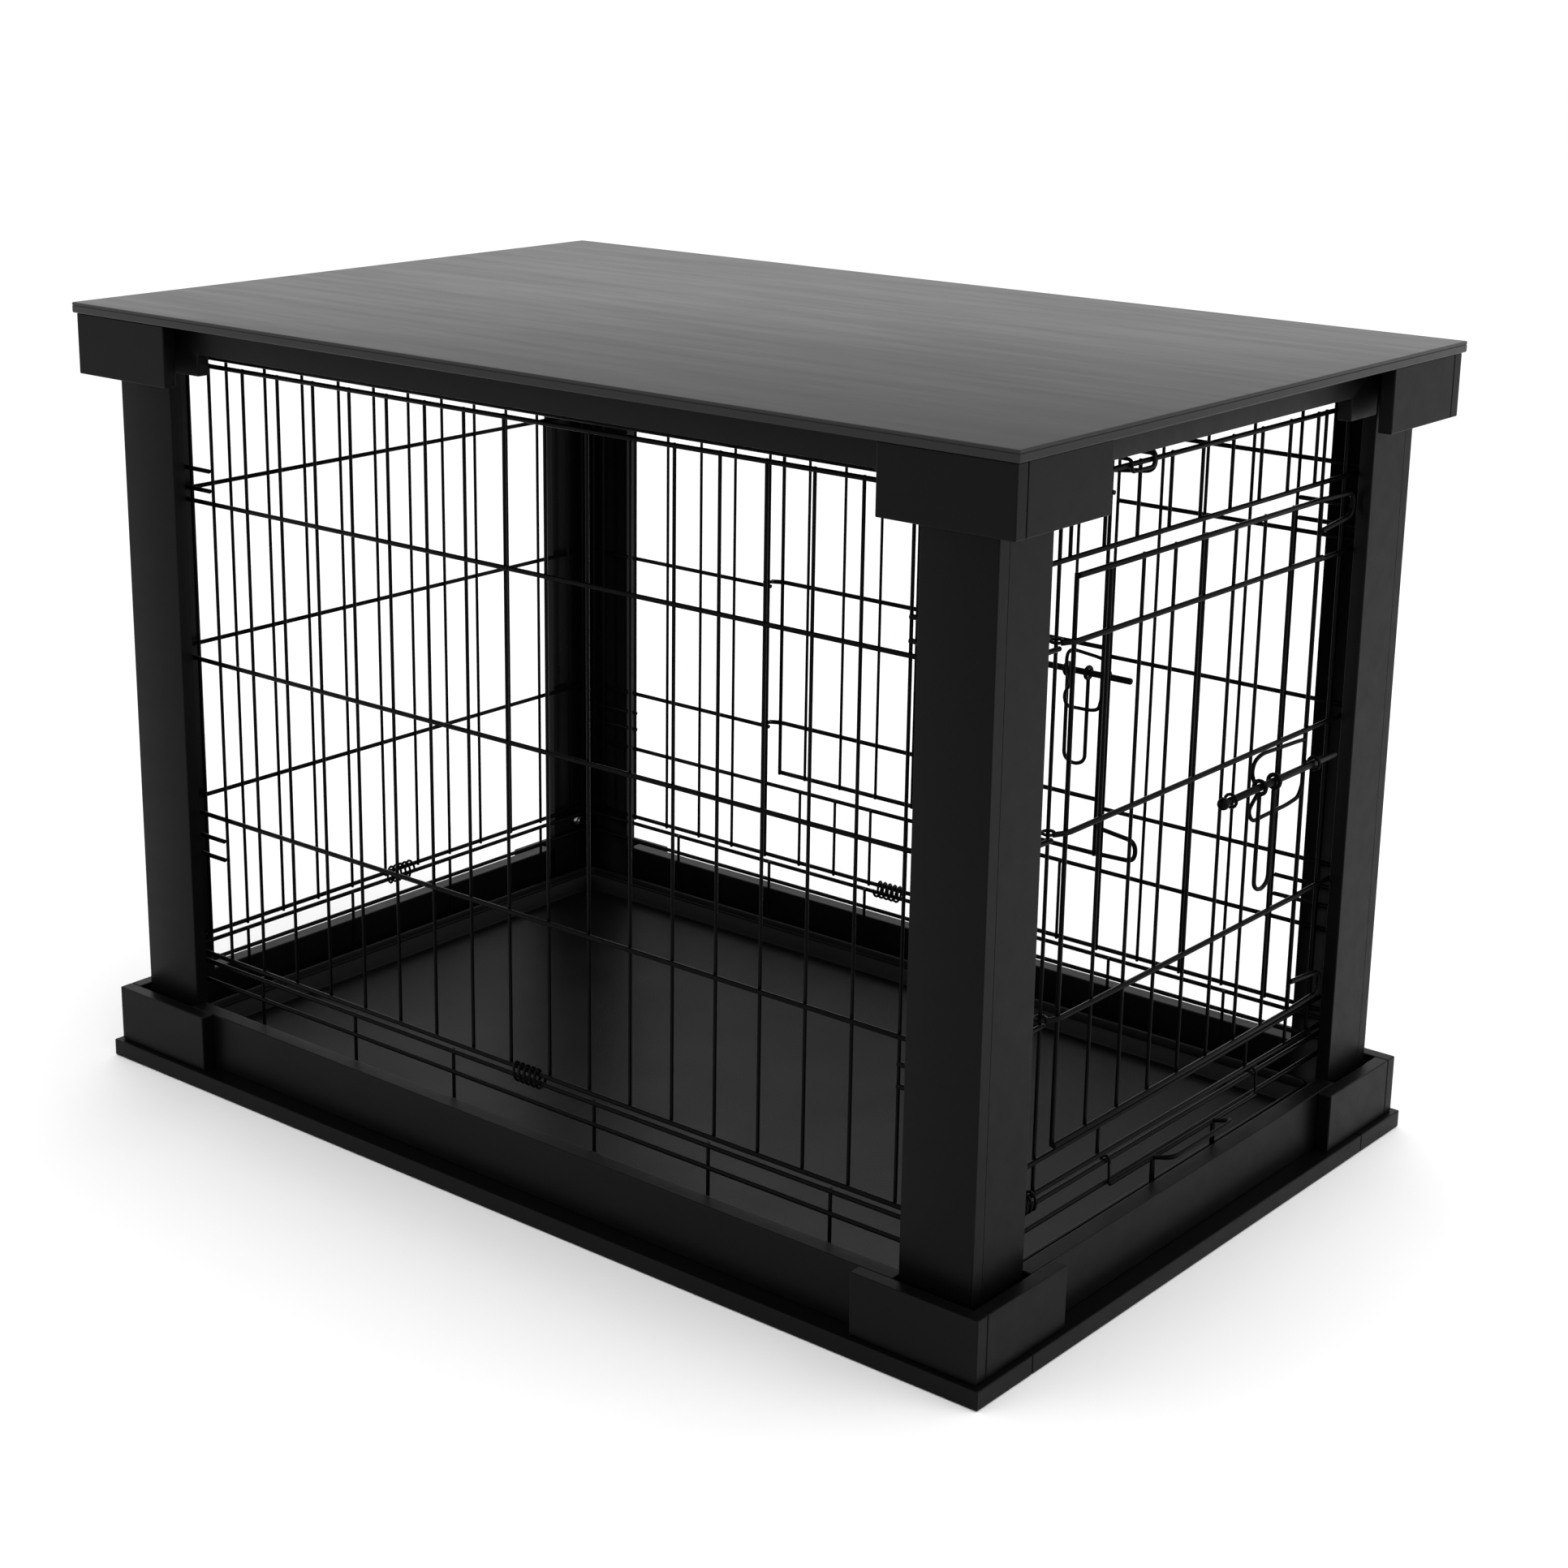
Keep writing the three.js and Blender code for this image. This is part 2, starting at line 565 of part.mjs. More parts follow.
// Each latch-side end of the door's top and bottom wire turns back in a long hook that overlaps the wall.
function doorHook(door, level, rise) {
  const reach = door.half + door.hook;
  const points = [
    [door.hand * (door.half - 4), -doorRailOut, level],
    [door.hand * (reach - 8), -doorRailOut, level],
    [door.hand * reach, -doorRailOut, level + rise / 2],
    [door.hand * (reach - 8), -doorRailOut, level + rise],
    [door.hand * (door.half - 1), -doorRailOut, level + rise],
  ];
  return bentRod(points, DOOR_WIRE, 9, 5);
}

// The end of a door wire that turns round the wall's upright.
function hingeEye(door, level) {
  const at = -door.hand * door.jamb;
  const arm = block([at - 2, 1 - doorRailOut, level - 1.8], [at + 2, -HINGE_EYE_RADIUS, level + 1.8]);
  return [arm, eye(HINGE_EYE_RADIUS, HINGE_EYE_WIRE, Z).translate(at, 0, level)];
}

function boltEye(door, place) {
  const at = door.hand * place;
  const ring = eye(boltEyeRadius, BOLT_EYE_WIRE, X).translate(at, -boltOut, boltLevel);
  const stem = block([at - 1.3, -doorMeshOut, boltLevel - 1.3], [at + 1.3, 5 - boltOut, boltLevel + 1.3]);
  return [ring, stem];
}

function doorGeometry(door) {
  const wires = [];
  const low = door.bottom - DOOR_WIRE / 2;
  const high = door.top + DOOR_WIRE / 2;
  const edge = door.half + 2;
  for (const place of spread(door.uprights, PITCH)) {
    wires.push(wallWire(Z, doorMeshOut, place, low, high, MESH_WIRE));
  }
  for (const side of [-1, 1]) {
    wires.push(wallWire(Z, doorMeshOut, side * door.half, low, high, DOOR_WIRE - 0.6));
  }
  for (const level of [door.bottom, door.top]) {
    wires.push(wallWire(X, doorRailOut, level, -edge, edge, DOOR_WIRE));
  }
  for (const level of railLevels.map((rail) => rail + doorAboveRail)) {
    wires.push(wallWire(X, doorRailOut, level, -door.hand * (door.jamb + 2), door.hand * edge, DOOR_WIRE));
    wires.push(...hingeEye(door, level));
  }
  wires.push(doorHook(door, door.top, -HOOK_HEIGHT));
  wires.push(doorHook(door, door.bottom, HOOK_HEIGHT));
  for (const place of door.eyes) {
    wires.push(...boltEye(door, place));
  }
  return joined(wires);
}

function boltGeometry(door) {
  const middle = (door.hand * (door.start + door.tip)) / 2;
  const rod = new THREE.CylinderGeometry(BOLT_DIAMETER / 2, BOLT_DIAMETER / 2, door.boltLength, 8);
  rod.rotateZ(Math.PI / 2).translate(middle, -boltOut, boltLevel);
  const knob = new THREE.SphereGeometry(BOLT_KNOB_RADIUS, 8, 6);
  knob.translate(door.hand * door.start, -boltOut, boltLevel);
  return joined([rod, knob]);
}

// A long wire loop that hangs from the bolt and turns round it.
function handleGeometry(door) {
  const ringRadius = BOLT_DIAMETER / 2 + HANDLE_CLEARANCE + HANDLE_WIRE / 2;
  const middle = door.hand * door.handleAt;
  const half = HANDLE_WIDTH / 2;
  const rings = [-1, 1].map((side) => {
    return eye(ringRadius, HANDLE_WIRE, X).translate(middle + side * half, -boltOut, boltLevel);
  });
  const top = boltLevel - ringRadius;
  const foot = boltLevel - HANDLE_DROP;
  const loop = bentRod(
    [
      [middle - half, -boltOut, top],
      [middle - half, -boltOut, foot + half],
      [middle, -boltOut, foot],
      [middle + half, -boltOut, foot + half],
      [middle + half, -boltOut, top],
    ],
    HANDLE_WIRE,
    12,
    5,
  );
  return joined([...rings, loop]);
}

function makeDoors() {
  for (const [name, door, side] of [["end", endDoor, "right"], ["side", sideDoor, "back"]]) {
    addMesh(`${name}_door`, standWall(doorGeometry(door), side), blackWire);
    addMesh(`${name}_bolt`, standWall(boltGeometry(door), side), blackWire);
    addMesh(`${name}_bolt_handle`, standWall(handleGeometry(door), side), blackWire);
  }
}

// ---------------------------------------------------------------- pan and pan stop

function makePan() {
  const x = endX - PAN_CLEARANCE;
  const y = sideY - PAN_CLEARANCE;
  const high = panLow + PAN_DEPTH;
  const tray = toSolid(block([-x, -y, panLow], [x, y, high]));
  const hollow = toSolid(block([PAN_WALL - x, PAN_WALL - y, panLow + PAN_WALL], [x - PAN_WALL, y - PAN_WALL, high + 5]));
  addMesh("pan", toGeometry(tray.subtract(hollow)), blackPlastic);
}

// The stop hangs from the door end's lip wire by two eyes. Its legs stand in front of the pan.
function makePanStop() {
  const out = railOut + FRAME_WIRE / 2 + STOP_CLEARANCE + STOP_WIRE / 2;
  const pieces = [wallWire(X, out, STOP_LEVEL, STOP_ENDS[0], STOP_ENDS[1], STOP_WIRE)];
  for (const place of STOP_ENDS) {
    pieces.push(eye(stopEyeRadius, STOP_EYE_WIRE, X).translate(place, -railOut, LIP_TOP));
    pieces.push(wallWire(Z, railOut + stopEyeRadius + STOP_HANG_OUT, place, STOP_LEVEL - 1, LIP_TOP, STOP_EYE_WIRE));
  }
  for (const place of STOP_LEGS) {
    pieces.push(wallWire(Z, out, place, STOP_LEG_FOOT, STOP_LEVEL, STOP_WIRE));
  }
  const [from, to] = STOP_LEGS;
  const reach = out + STOP_HANDLE_REACH;
  pieces.push(
    bentRod(
      [
        [from, -out, STOP_LEVEL],
        [from, -reach + 5, STOP_LEVEL + 4],
        [from + 5, -reach, STOP_LEVEL + 5],
        [to - 5, -reach, STOP_LEVEL + 5],
        [to, -reach + 5, STOP_LEVEL + 4],
        [to, -out, STOP_LEVEL],
      ],
      STOP_WIRE,
      11,
    ),
  );
  addMesh("pan_stop", standWall(joined(pieces), "right"), blackWire);
}

makeTop();
makeCornerBoards("top", topCornerX, topCornerY, topUnderside - GAP - TOP_CORNER_DEPTH, topUnderside - GAP);
makeAprons();
makePosts();
makeBase();
makeCornerBoards("base", baseCornerX, baseCornerY, floorOfBase, floorOfBase + BASE_CORNER_HEIGHT);
makeFloorFrame();
makeWalls();
makeTopGrid();
makeCoils();
makeDoors();
makePan();
makePanStop();

export default crate;
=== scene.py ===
# A folding wire crate with two doors, standing inside a furniture cover of black painted board.
# Metres, +Z up. -Y is the plain long side, +X the end with the small door.
import json
import math

import bmesh
import bpy
from mathutils import Matrix, Vector


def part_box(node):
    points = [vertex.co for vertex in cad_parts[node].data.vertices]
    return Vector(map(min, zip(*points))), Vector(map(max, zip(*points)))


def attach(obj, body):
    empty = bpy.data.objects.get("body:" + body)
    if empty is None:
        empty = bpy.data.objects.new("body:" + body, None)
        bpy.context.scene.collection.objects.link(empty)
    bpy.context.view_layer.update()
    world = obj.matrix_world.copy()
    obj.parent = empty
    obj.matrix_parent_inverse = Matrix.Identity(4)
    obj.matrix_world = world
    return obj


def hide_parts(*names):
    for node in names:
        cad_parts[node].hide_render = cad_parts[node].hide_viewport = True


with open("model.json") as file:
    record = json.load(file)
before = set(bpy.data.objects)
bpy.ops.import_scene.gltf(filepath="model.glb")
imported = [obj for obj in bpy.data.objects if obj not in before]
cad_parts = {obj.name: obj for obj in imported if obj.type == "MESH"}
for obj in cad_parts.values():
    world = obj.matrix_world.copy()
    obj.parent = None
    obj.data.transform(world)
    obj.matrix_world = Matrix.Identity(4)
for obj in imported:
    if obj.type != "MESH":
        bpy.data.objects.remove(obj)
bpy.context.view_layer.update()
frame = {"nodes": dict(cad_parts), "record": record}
nodes = frame["nodes"]
bodies = frame["record"]["behaviour"]["bodies"]
body_of_node = {member: body for body, members in bodies.items() for member in members}

# ---- Camera -------------------------------------------------------------------------------------
# It stands off the corner between the plain long side and the door end, a third of a metre above the
# table top, and looks down a little.
CAMERA_PLACE = (1.4485, -1.7528, 1.0072)
CAMERA_TURN = math.radians(39.6745)
CAMERA_TILT = math.radians(15.864)
CAMERA_ROLL = math.radians(0.6554)
CAMERA_SENSOR = 36.0
CAMERA_LENS = 64.18
CAMERA_SHIFT = (0.02733, -0.05675)
CAMERA_FAR_END = 50.0

camera_data = bpy.data.cameras.new("camera")
camera_data.sensor_width = CAMERA_SENSOR
camera_data.lens = CAMERA_LENS
camera_data.shift_x, camera_data.shift_y = CAMERA_SHIFT
camera_data.clip_end = CAMERA_FAR_END
camera = bpy.data.objects.new("camera", camera_data)
bpy.context.scene.collection.objects.link(camera)
backward = Vector(
    (
        math.sin(CAMERA_TURN) * math.cos(CAMERA_TILT),
        -math.cos(CAMERA_TURN) * math.cos(CAMERA_TILT),
        math.sin(CAMERA_TILT),
    )
)
level_right = (-backward).cross(Vector((0, 0, 1))).normalized()
level_down = (-backward).cross(level_right)
right = math.cos(CAMERA_ROLL) * level_right - math.sin(CAMERA_ROLL) * level_down
down = math.sin(CAMERA_ROLL) * level_right + math.cos(CAMERA_ROLL) * level_down
turn = Matrix((right, -down, backward)).transposed().to_4x4()
camera.matrix_world = Matrix.Translation(Vector(CAMERA_PLACE)) @ turn
bpy.context.scene.camera = camera

# ---- Painted boards of the cover ----------------------------------------------------------------
# Smooth fibre board cut to strips, edges just broken, sprayed satin black. The grain of the rolled
# undercoat shows faintly where the paint mirrors the room.
EDGE_ROUNDING = 0.0009
SHARP_EDGE = math.radians(30.0)
BOARD_SMOOTHING = 25.0
PAINT_BLACK = (0.0016, 0.0016, 0.0017, 1.0)
# The table top's lighter black is a painted reflection of the bright room on the same satin paint, not a different
# paint colour.
TABLE_PAINTED_REFLECTION_BLACK = (0.016, 0.016, 0.0165, 1.0)
PAINT_RUBBED = (0.009, 0.009, 0.0094, 1.0)
RUBBED_AMOUNT = 0.8
RUBBED_PATCHES = 60.0
PAINT_RELIEF_DEPTH = 0.00012
BROAD_STREAK_HEIGHT = 0.6
BROAD_STREAK_RANGE = (0.35, 0.65)


def new_group(name, inputs, outputs):
    group = bpy.data.node_groups.new(name, "ShaderNodeTree")
    for label, value in inputs:
        socket = group.interface.new_socket(label, in_out="INPUT", socket_type="NodeSocketFloat")
        socket.default_value = value
    for label, kind in outputs:
        group.interface.new_socket(label, in_out="OUTPUT", socket_type=kind)
    return group, group.nodes.new("NodeGroupInput"), group.nodes.new("NodeGroupOutput")


def math_node(tree, operation, first, second):
    node = tree.nodes.new("ShaderNodeMath")
    node.operation = operation
    for socket, value in zip(node.inputs, (first, second)):
        if isinstance(value, float):
            socket.default_value = value
        else:
            tree.links.new(value, socket)
    return node.outputs[0]


def object_noise(tree, scale, detail=2.0):
    place = tree.nodes.new("ShaderNodeTexCoord")
    noise = tree.nodes.new("ShaderNodeTexNoise")
    noise.inputs["Scale"].default_value = scale
    noise.inputs["Detail"].default_value = detail
    tree.links.new(place.outputs["Object"], noise.inputs["Vector"])
    return noise.outputs["Fac"]


# Streaks along the board: a mask from 0 to 1 for roughness and colour, and a height for the bump.
streaks, streaks_in, streaks_out = new_group(
    "board_streaks",
    [("Along", 9.0), ("Across", 150.0), ("Fine", 900.0)],
    [("Mask", "NodeSocketFloat"), ("Height", "NodeSocketFloat")],
)
streak_place = streaks.nodes.new("ShaderNodeTexCoord")
streak_scale = streaks.nodes.new("ShaderNodeCombineXYZ")
streaks.links.new(streaks_in.outputs["Along"], streak_scale.inputs[0])
streaks.links.new(streaks_in.outputs["Across"], streak_scale.inputs[1])
streaks.links.new(streaks_in.outputs["Across"], streak_scale.inputs[2])
streak_space = streaks.nodes.new("ShaderNodeVectorMath")
streak_space.operation = "MULTIPLY"
streaks.links.new(streak_place.outputs["Object"], streak_space.inputs[0])
streaks.links.new(streak_scale.outputs[0], streak_space.inputs[1])
broad = streaks.nodes.new("ShaderNodeTexNoise")
broad.inputs["Scale"].default_value = 1.0
broad.inputs["Detail"].default_value = 5.0
broad.inputs["Roughness"].default_value = 0.6
streaks.links.new(streak_space.outputs[0], broad.inputs["Vector"])
fine = streaks.nodes.new("ShaderNodeTexNoise")
fine.inputs["Detail"].default_value = 3.0
streaks.links.new(streak_place.outputs["Object"], fine.inputs["Vector"])
streaks.links.new(streaks_in.outputs["Fine"], fine.inputs["Scale"])
spread = streaks.nodes.new("ShaderNodeMapRange")
spread.inputs["From Min"].default_value = BROAD_STREAK_RANGE[0]
spread.inputs["From Max"].default_value = BROAD_STREAK_RANGE[1]
streaks.links.new(broad.outputs["Fac"], spread.inputs["Value"])
streaks.links.new(spread.outputs["Result"], streaks_out.inputs["Mask"])
broad_height = math_node(streaks, "MULTIPLY", broad.outputs["Fac"], BROAD_STREAK_HEIGHT)
mixed = math_node(streaks, "ADD", broad_height, fine.outputs["Fac"])
streaks.links.new(mixed, streaks_out.inputs["Height"])

# Rubbed edges: where the surface turns sharply the paint is a little thinner and greyer.
edges, edges_in, edges_out = new_group(
    "rubbed_edges", [("Width", 0.0012), ("Amount", 1.0)], [("Mask", "NodeSocketFloat")]
)
edge_bevel = edges.nodes.new("ShaderNodeBevel")
edge_bevel.samples = 4
edges.links.new(edges_in.outputs["Width"], edge_bevel.inputs["Radius"])
edge_plain = edges.nodes.new("ShaderNodeNewGeometry")
edge_dot = edges.nodes.new("ShaderNodeVectorMath")
edge_dot.operation = "DOT_PRODUCT"
edges.links.new(edge_bevel.outputs[0], edge_dot.inputs[0])
edges.links.new(edge_plain.outputs["Normal"], edge_dot.inputs[1])
edge_turn = math_node(edges, "SUBTRACT", 1.0, edge_dot.outputs["Value"])
edge_patchy = math_node(edges, "MULTIPLY", edge_turn, object_noise(edges, RUBBED_PATCHES))
edge_level = math_node(edges, "MULTIPLY", edge_patchy, edges_in.outputs["Amount"])
edge_level.node.use_clamp = True
edges.links.new(edge_level, edges_out.inputs["Mask"])


def new_material(name):
    material = bpy.data.materials.new(name)
    material.use_nodes = True
    shader = material.node_tree.nodes["Principled BSDF"]
    return material, material.node_tree, shader


def place_group(tree, group, **values):
    node = tree.nodes.new("ShaderNodeGroup")
    node.node_tree = group
    for label, value in values.items():
        node.inputs[label].default_value = value
    return node


def ramp(tree, factor, low, high):
    node = tree.nodes.new("ShaderNodeMapRange")
    node.inputs["To Min"].default_value = low
    node.inputs["To Max"].default_value = high
    tree.links.new(factor, node.inputs["Value"])
    return node.outputs["Result"]


def blend_colours(tree, factor, first, second):
    node = tree.nodes.new("ShaderNodeMix")
    node.data_type = "RGBA"
    tree.links.new(factor, node.inputs["Factor"])
    node.inputs[6].default_value = first
    node.inputs[7].default_value = second
    return node.outputs[2]


def bump(tree, height, strength, distance):
    node = tree.nodes.new("ShaderNodeBump")
    node.inputs["Strength"].default_value = strength
    node.inputs["Distance"].default_value = distance
    tree.links.new(height, node.inputs["Height"])
    return node.outputs["Normal"]


# One factor drives both the colour and the roughness.
def shade(tree, shader, factor, first, second, roughness):
    tree.links.new(blend_colours(tree, factor, first, second), shader.inputs["Base Color"])
    tree.links.new(ramp(tree, factor, *roughness), shader.inputs["Roughness"])


def satin_paint(name, black, along, across, roughness, mirror, relief):
    material, tree, shader = new_material(name)
    grain = place_group(tree, streaks, Along=along, Across=across)
    rubbed = place_group(tree, edges, Amount=RUBBED_AMOUNT)
    colour = blend_colours(tree, rubbed.outputs["Mask"], black, PAINT_RUBBED)
    tree.links.new(colour, shader.inputs["Base Color"])
    tree.links.new(ramp(tree, grain.outputs["Mask"], *roughness), shader.inputs["Roughness"])
    raised = bump(tree, grain.outputs["Height"], relief, PAINT_RELIEF_DEPTH)
    tree.links.new(raised, shader.inputs["Normal"])
    shader.inputs["Specular IOR Level"].default_value = mirror
    return material


# The table top's material takes the lighter black, a painted reflection of the room on its broad face.
table_paint_painted_reflection = satin_paint(
    "satin_paint_table_top_painted_reflection", TABLE_PAINTED_REFLECTION_BLACK, along=5.0, across=60.0, roughness=(0.34, 0.39), mirror=0.115, relief=0.08
)
board_paint = satin_paint(
    "satin_paint_boards", PAINT_BLACK, along=22.0, across=60.0, roughness=(0.34, 0.42), mirror=0.07, relief=0.3
)


def finish_piece(name, bm, material, node, smoothing=35.0):
    mesh = bpy.data.meshes.new(name)
    bm.to_mesh(mesh)
    bm.free()
    mesh.materials.append(material)
    for face in mesh.polygons:
        face.use_smooth = True
    mesh.set_sharp_from_angle(angle=math.radians(smoothing))
    piece = bpy.data.objects.new(name, mesh)
    bpy.context.scene.collection.objects.link(piece)
    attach(piece, body_of_node[node])
    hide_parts(node)


def merged_copy(node):
    bm = bmesh.new()
    bm.from_mesh(nodes[node].data)
    bmesh.ops.remove_doubles(bm, verts=bm.verts, dist=1e-5)
    bmesh.ops.dissolve_limit(bm, angle_limit=math.radians(1.0), verts=bm.verts, edges=bm.edges)
    return bm


def bevel(bm, edges_to_round, width, segments, profile=0.5, clamp=False):
    bmesh.ops.bevel(
        bm, geom=edges_to_round, offset=width, segments=segments, profile=profile, affect="EDGES", material=-1,
        clamp_overlap=clamp,
    )


def round_edges(bm, width, segments=2):
    sharp = [edge for edge in bm.edges if edge.calc_face_angle(0.0) > SHARP_EDGE]
    bevel(bm, sharp, width, segments, clamp=True)


def cut(bm, place, normal):
    everything = bm.verts[:] + bm.edges[:] + bm.faces[:]
    bmesh.ops.bisect_plane(bm, geom=everything, plane_co=place, plane_no=normal)


def finish_board(bm, node, material):
    finish_piece(f"painted_{node}", bm, material, node, BOARD_SMOOTHING)


# ---- Table top ----------------------------------------------------------------------------------
# One thin board, in the same satin paint but with a black ten times lighter than the other boards': a painted
# reflection of the bright room. A fine line runs round its edge where the top skin meets the core.
SKIN_THICKNESS = 0.0024
SKIN_LINE = 0.0006
SKIN_LINE_DEPTH = 0.0007
TABLE_EDGE_ROUNDING = 0.0013

top_bm = merged_copy("top_panel")
round_edges(top_bm, TABLE_EDGE_ROUNDING, 3)
top_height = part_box("top_panel")[1].z
for level in (top_height - SKIN_THICKNESS, top_height - SKIN_THICKNESS - SKIN_LINE):
    cut(top_bm, (0, 0, level), (0, 0, 1))
line_middle = top_height - SKIN_THICKNESS - SKIN_LINE / 2
line_faces = [
    face for face in top_bm.faces if abs(face.calc_center_median().z - line_middle) < SKIN_LINE / 2
]
bmesh.ops.inset_region(
    top_bm, faces=line_faces, thickness=0.0, depth=-SKIN_LINE_DEPTH, use_even_offset=True
)
finish_board(top_bm, "top_panel", table_paint_painted_reflection)

# ---- Corner boards, aprons, base strips and rails -----------------------------------------------
# Plain boards glued and pinned to each other.
for node in sorted(nodes):
    if node.startswith(("top_corner", "apron", "base_corner", "base_strip", "base_rail")):
        board_bm = merged_copy(node)
        round_edges(board_bm, EDGE_ROUNDING)
        finish_board(board_bm, node, board_paint)

# ---- Posts --------------------------------------------------------------------------------------
# Each is two boards glued edge to face, and the joint shows as a fine line down its end face.
CORNERS = ("front_left", "front_right", "back_left", "back_right")
POST_BOARD = 0.012
POST_LINE = 0.0005
POST_LINE_DEPTH = 0.0004
POST_ROUNDING = 0.0011
for corner in CORNERS:
    post_low, post_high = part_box(f"post_{corner}")
    outward_y = 1.0 if post_high.y > 0 else -1.0
    face_y = post_high.y if outward_y > 0 else post_low.y
    post_bm = merged_copy(f"post_{corner}")
    for offset in (POST_BOARD, POST_BOARD + POST_LINE):
        cut(post_bm, (0, face_y - outward_y * offset, 0), (0, 1, 0))
    face_x = post_high.x if post_high.x > 0 else post_low.x
    line_y = face_y - outward_y * (POST_BOARD + POST_LINE / 2)
    joint_faces = [
        face
        for face in post_bm.faces
        if abs(face.calc_center_median().y - line_y) < POST_LINE
        and abs(face.calc_center_median().x - face_x) < 1e-4
    ]
    bmesh.ops.inset_region(post_bm, faces=joint_faces, thickness=0.0, depth=-POST_LINE_DEPTH)
    away_from_line = [
        edge
        for edge in post_bm.edges
        if edge.calc_face_angle(0.0) > SHARP_EDGE
        and all(abs(vert.co.y - line_y) > POST_LINE for vert in edge.verts)
    ]
    bevel(post_bm, away_from_line, POST_ROUNDING, 3, clamp=True)
    finish_board(post_bm, f"post_{corner}", board_paint)

# ---- Post screws --------------------------------------------------------------------------------
# Domed zinc-plated heads with a sunk middle, driven from inside into each post's foot.
ZINC_DARK = (0.5, 0.5, 0.51, 1)
ZINC_LIGHT = (0.66, 0.66, 0.64, 1)
ZINC_GRAIN = 300.0
CROWN_SHARE = 0.82
CROWN_ROUNDING = 0.0009
RECESS_FROM_RIM = 0.28
RECESS_SLOPE = 0.1
RECESS_DEPTH = 0.0009

zinc, zinc_tree, zinc_shader = new_material("zinc_plate")
zinc_grain = place_group(zinc_tree, streaks, Along=ZINC_GRAIN, Across=ZINC_GRAIN)
shade(zinc_tree, zinc_shader, zinc_grain.outputs["Mask"], ZINC_DARK, ZINC_LIGHT, (0.22, 0.38))
zinc_shader.inputs["Metallic"].default_value = 1.0

for corner in CORNERS:
    head_low, head_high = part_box(f"post_screw_{corner}")
    head_middle = (head_low + head_high) / 2
    head_radius = (head_high.z - head_low.z) / 2
    inward = -1.0 if head_middle.x > 0 else 1.0
    screw_bm = bmesh.new()
    bmesh.ops.create_cone(
        screw_bm, cap_ends=True, segments=24, radius1=head_radius, radius2=head_radius * CROWN_SHARE,
        depth=head_high.x - head_low.x,
    )
    crown = max(screw_bm.faces, key=lambda face: face.calc_center_median().z)
    bevel(screw_bm, list(crown.edges), CROWN_ROUNDING, 3, profile=0.6)
    crown = max(
        screw_bm.faces, key=lambda face: (round(face.calc_center_median().z, 6), face.calc_area())
    )
    bmesh.ops.inset_region(screw_bm, faces=[crown], thickness=head_radius * RECESS_FROM_RIM)
    bmesh.ops.inset_region(
        screw_bm, faces=[crown], thickness=head_radius * RECESS_SLOPE, depth=-RECESS_DEPTH
    )
    facing = Matrix.Rotation(inward * math.pi / 2, 3, "Y")
    bmesh.ops.rotate(screw_bm, verts=screw_bm.verts, matrix=facing)
    bmesh.ops.translate(screw_bm, verts=screw_bm.verts, vec=head_middle)
    finish_piece(f"screw_head_{corner}", screw_bm, zinc, f"post_screw_{corner}")

# ---- Wire of the crate --------------------------------------------------------------------------
# Drawn steel wire, welded at each crossing and dipped in gloss black enamel, which pools a little
# at the welds and leaves the surface very slightly wavy.
MESH_RADIUS = 0.00145
FRAME_RADIUS = 0.0020
DOOR_RADIUS = 0.0022
PITCH = 0.0428
END_X = 0.428
SIDE_Y = 0.265
RAIL_OUT = 0.0027
FOOT_LEVEL = 0.1056
WALL_TOP = 0.632
RAIL_LEVELS = (0.236, 0.376, 0.515)
WALL_SIDE_CLEARANCE = 0.0082
LONG_HALF = END_X - WALL_SIDE_CLEARANCE
SHORT_HALF = SIDE_Y - WALL_SIDE_CLEARANCE
PAST_RAIL = 0.0015
LONG_WALL_UPRIGHTS = 20
ENAMEL_DARK = (0.0006, 0.0006, 0.0007, 1)
ENAMEL_LIGHT = (0.002, 0.002, 0.0021, 1)
ENAMEL_WAVES = 140.0
ENAMEL_WAVE_DEPTH = 0.0001
ENAMEL_MIRROR = 0.035

wire_enamel, wire_tree, wire_shader = new_material("gloss_black_enamel")
wire_waves = object_noise(wire_tree, ENAMEL_WAVES, detail=4.0)
shade(wire_tree, wire_shader, wire_waves, ENAMEL_DARK, ENAMEL_LIGHT, (0.26, 0.38))
wire_tree.links.new(bump(wire_tree, wire_waves, 0.12, ENAMEL_WAVE_DEPTH), wire_shader.inputs["Normal"])
wire_shader.inputs["Specular IOR Level"].default_value = ENAMEL_MIRROR

SIDE_TURN = {"front": 0.0, "right": math.pi / 2, "back": math.pi, "left": -math.pi / 2}
SIDE_PLACE = {
    "front": (0, -SIDE_Y, 0), "right": (END_X, 0, 0), "back": (0, SIDE_Y, 0), "left": (-END_X, 0, 0),
}


def spread_evenly(count, pitch=PITCH):
    return [(i - (count - 1) / 2) * pitch for i in range(count)]


# A straight wire with softened cut ends.
def straight_wire(bm, start, end, radius, sides=10):
    start, end = Vector(start), Vector(end)
    along = end - start
    turned = along.to_track_quat("Z", "Y").to_matrix().to_4x4()
    made = bmesh.ops.create_cone(
        bm, cap_ends=True, segments=sides, radius1=radius, radius2=radius, depth=along.length,
        matrix=Matrix.Translation((start + end) / 2) @ turned,
    )
    caps = {face for vert in made["verts"] for face in vert.link_faces if len(face.verts) == sides}
    rims = list({edge for face in caps for edge in face.edges})
    bevel(bm, rims, radius * 0.45, 2)


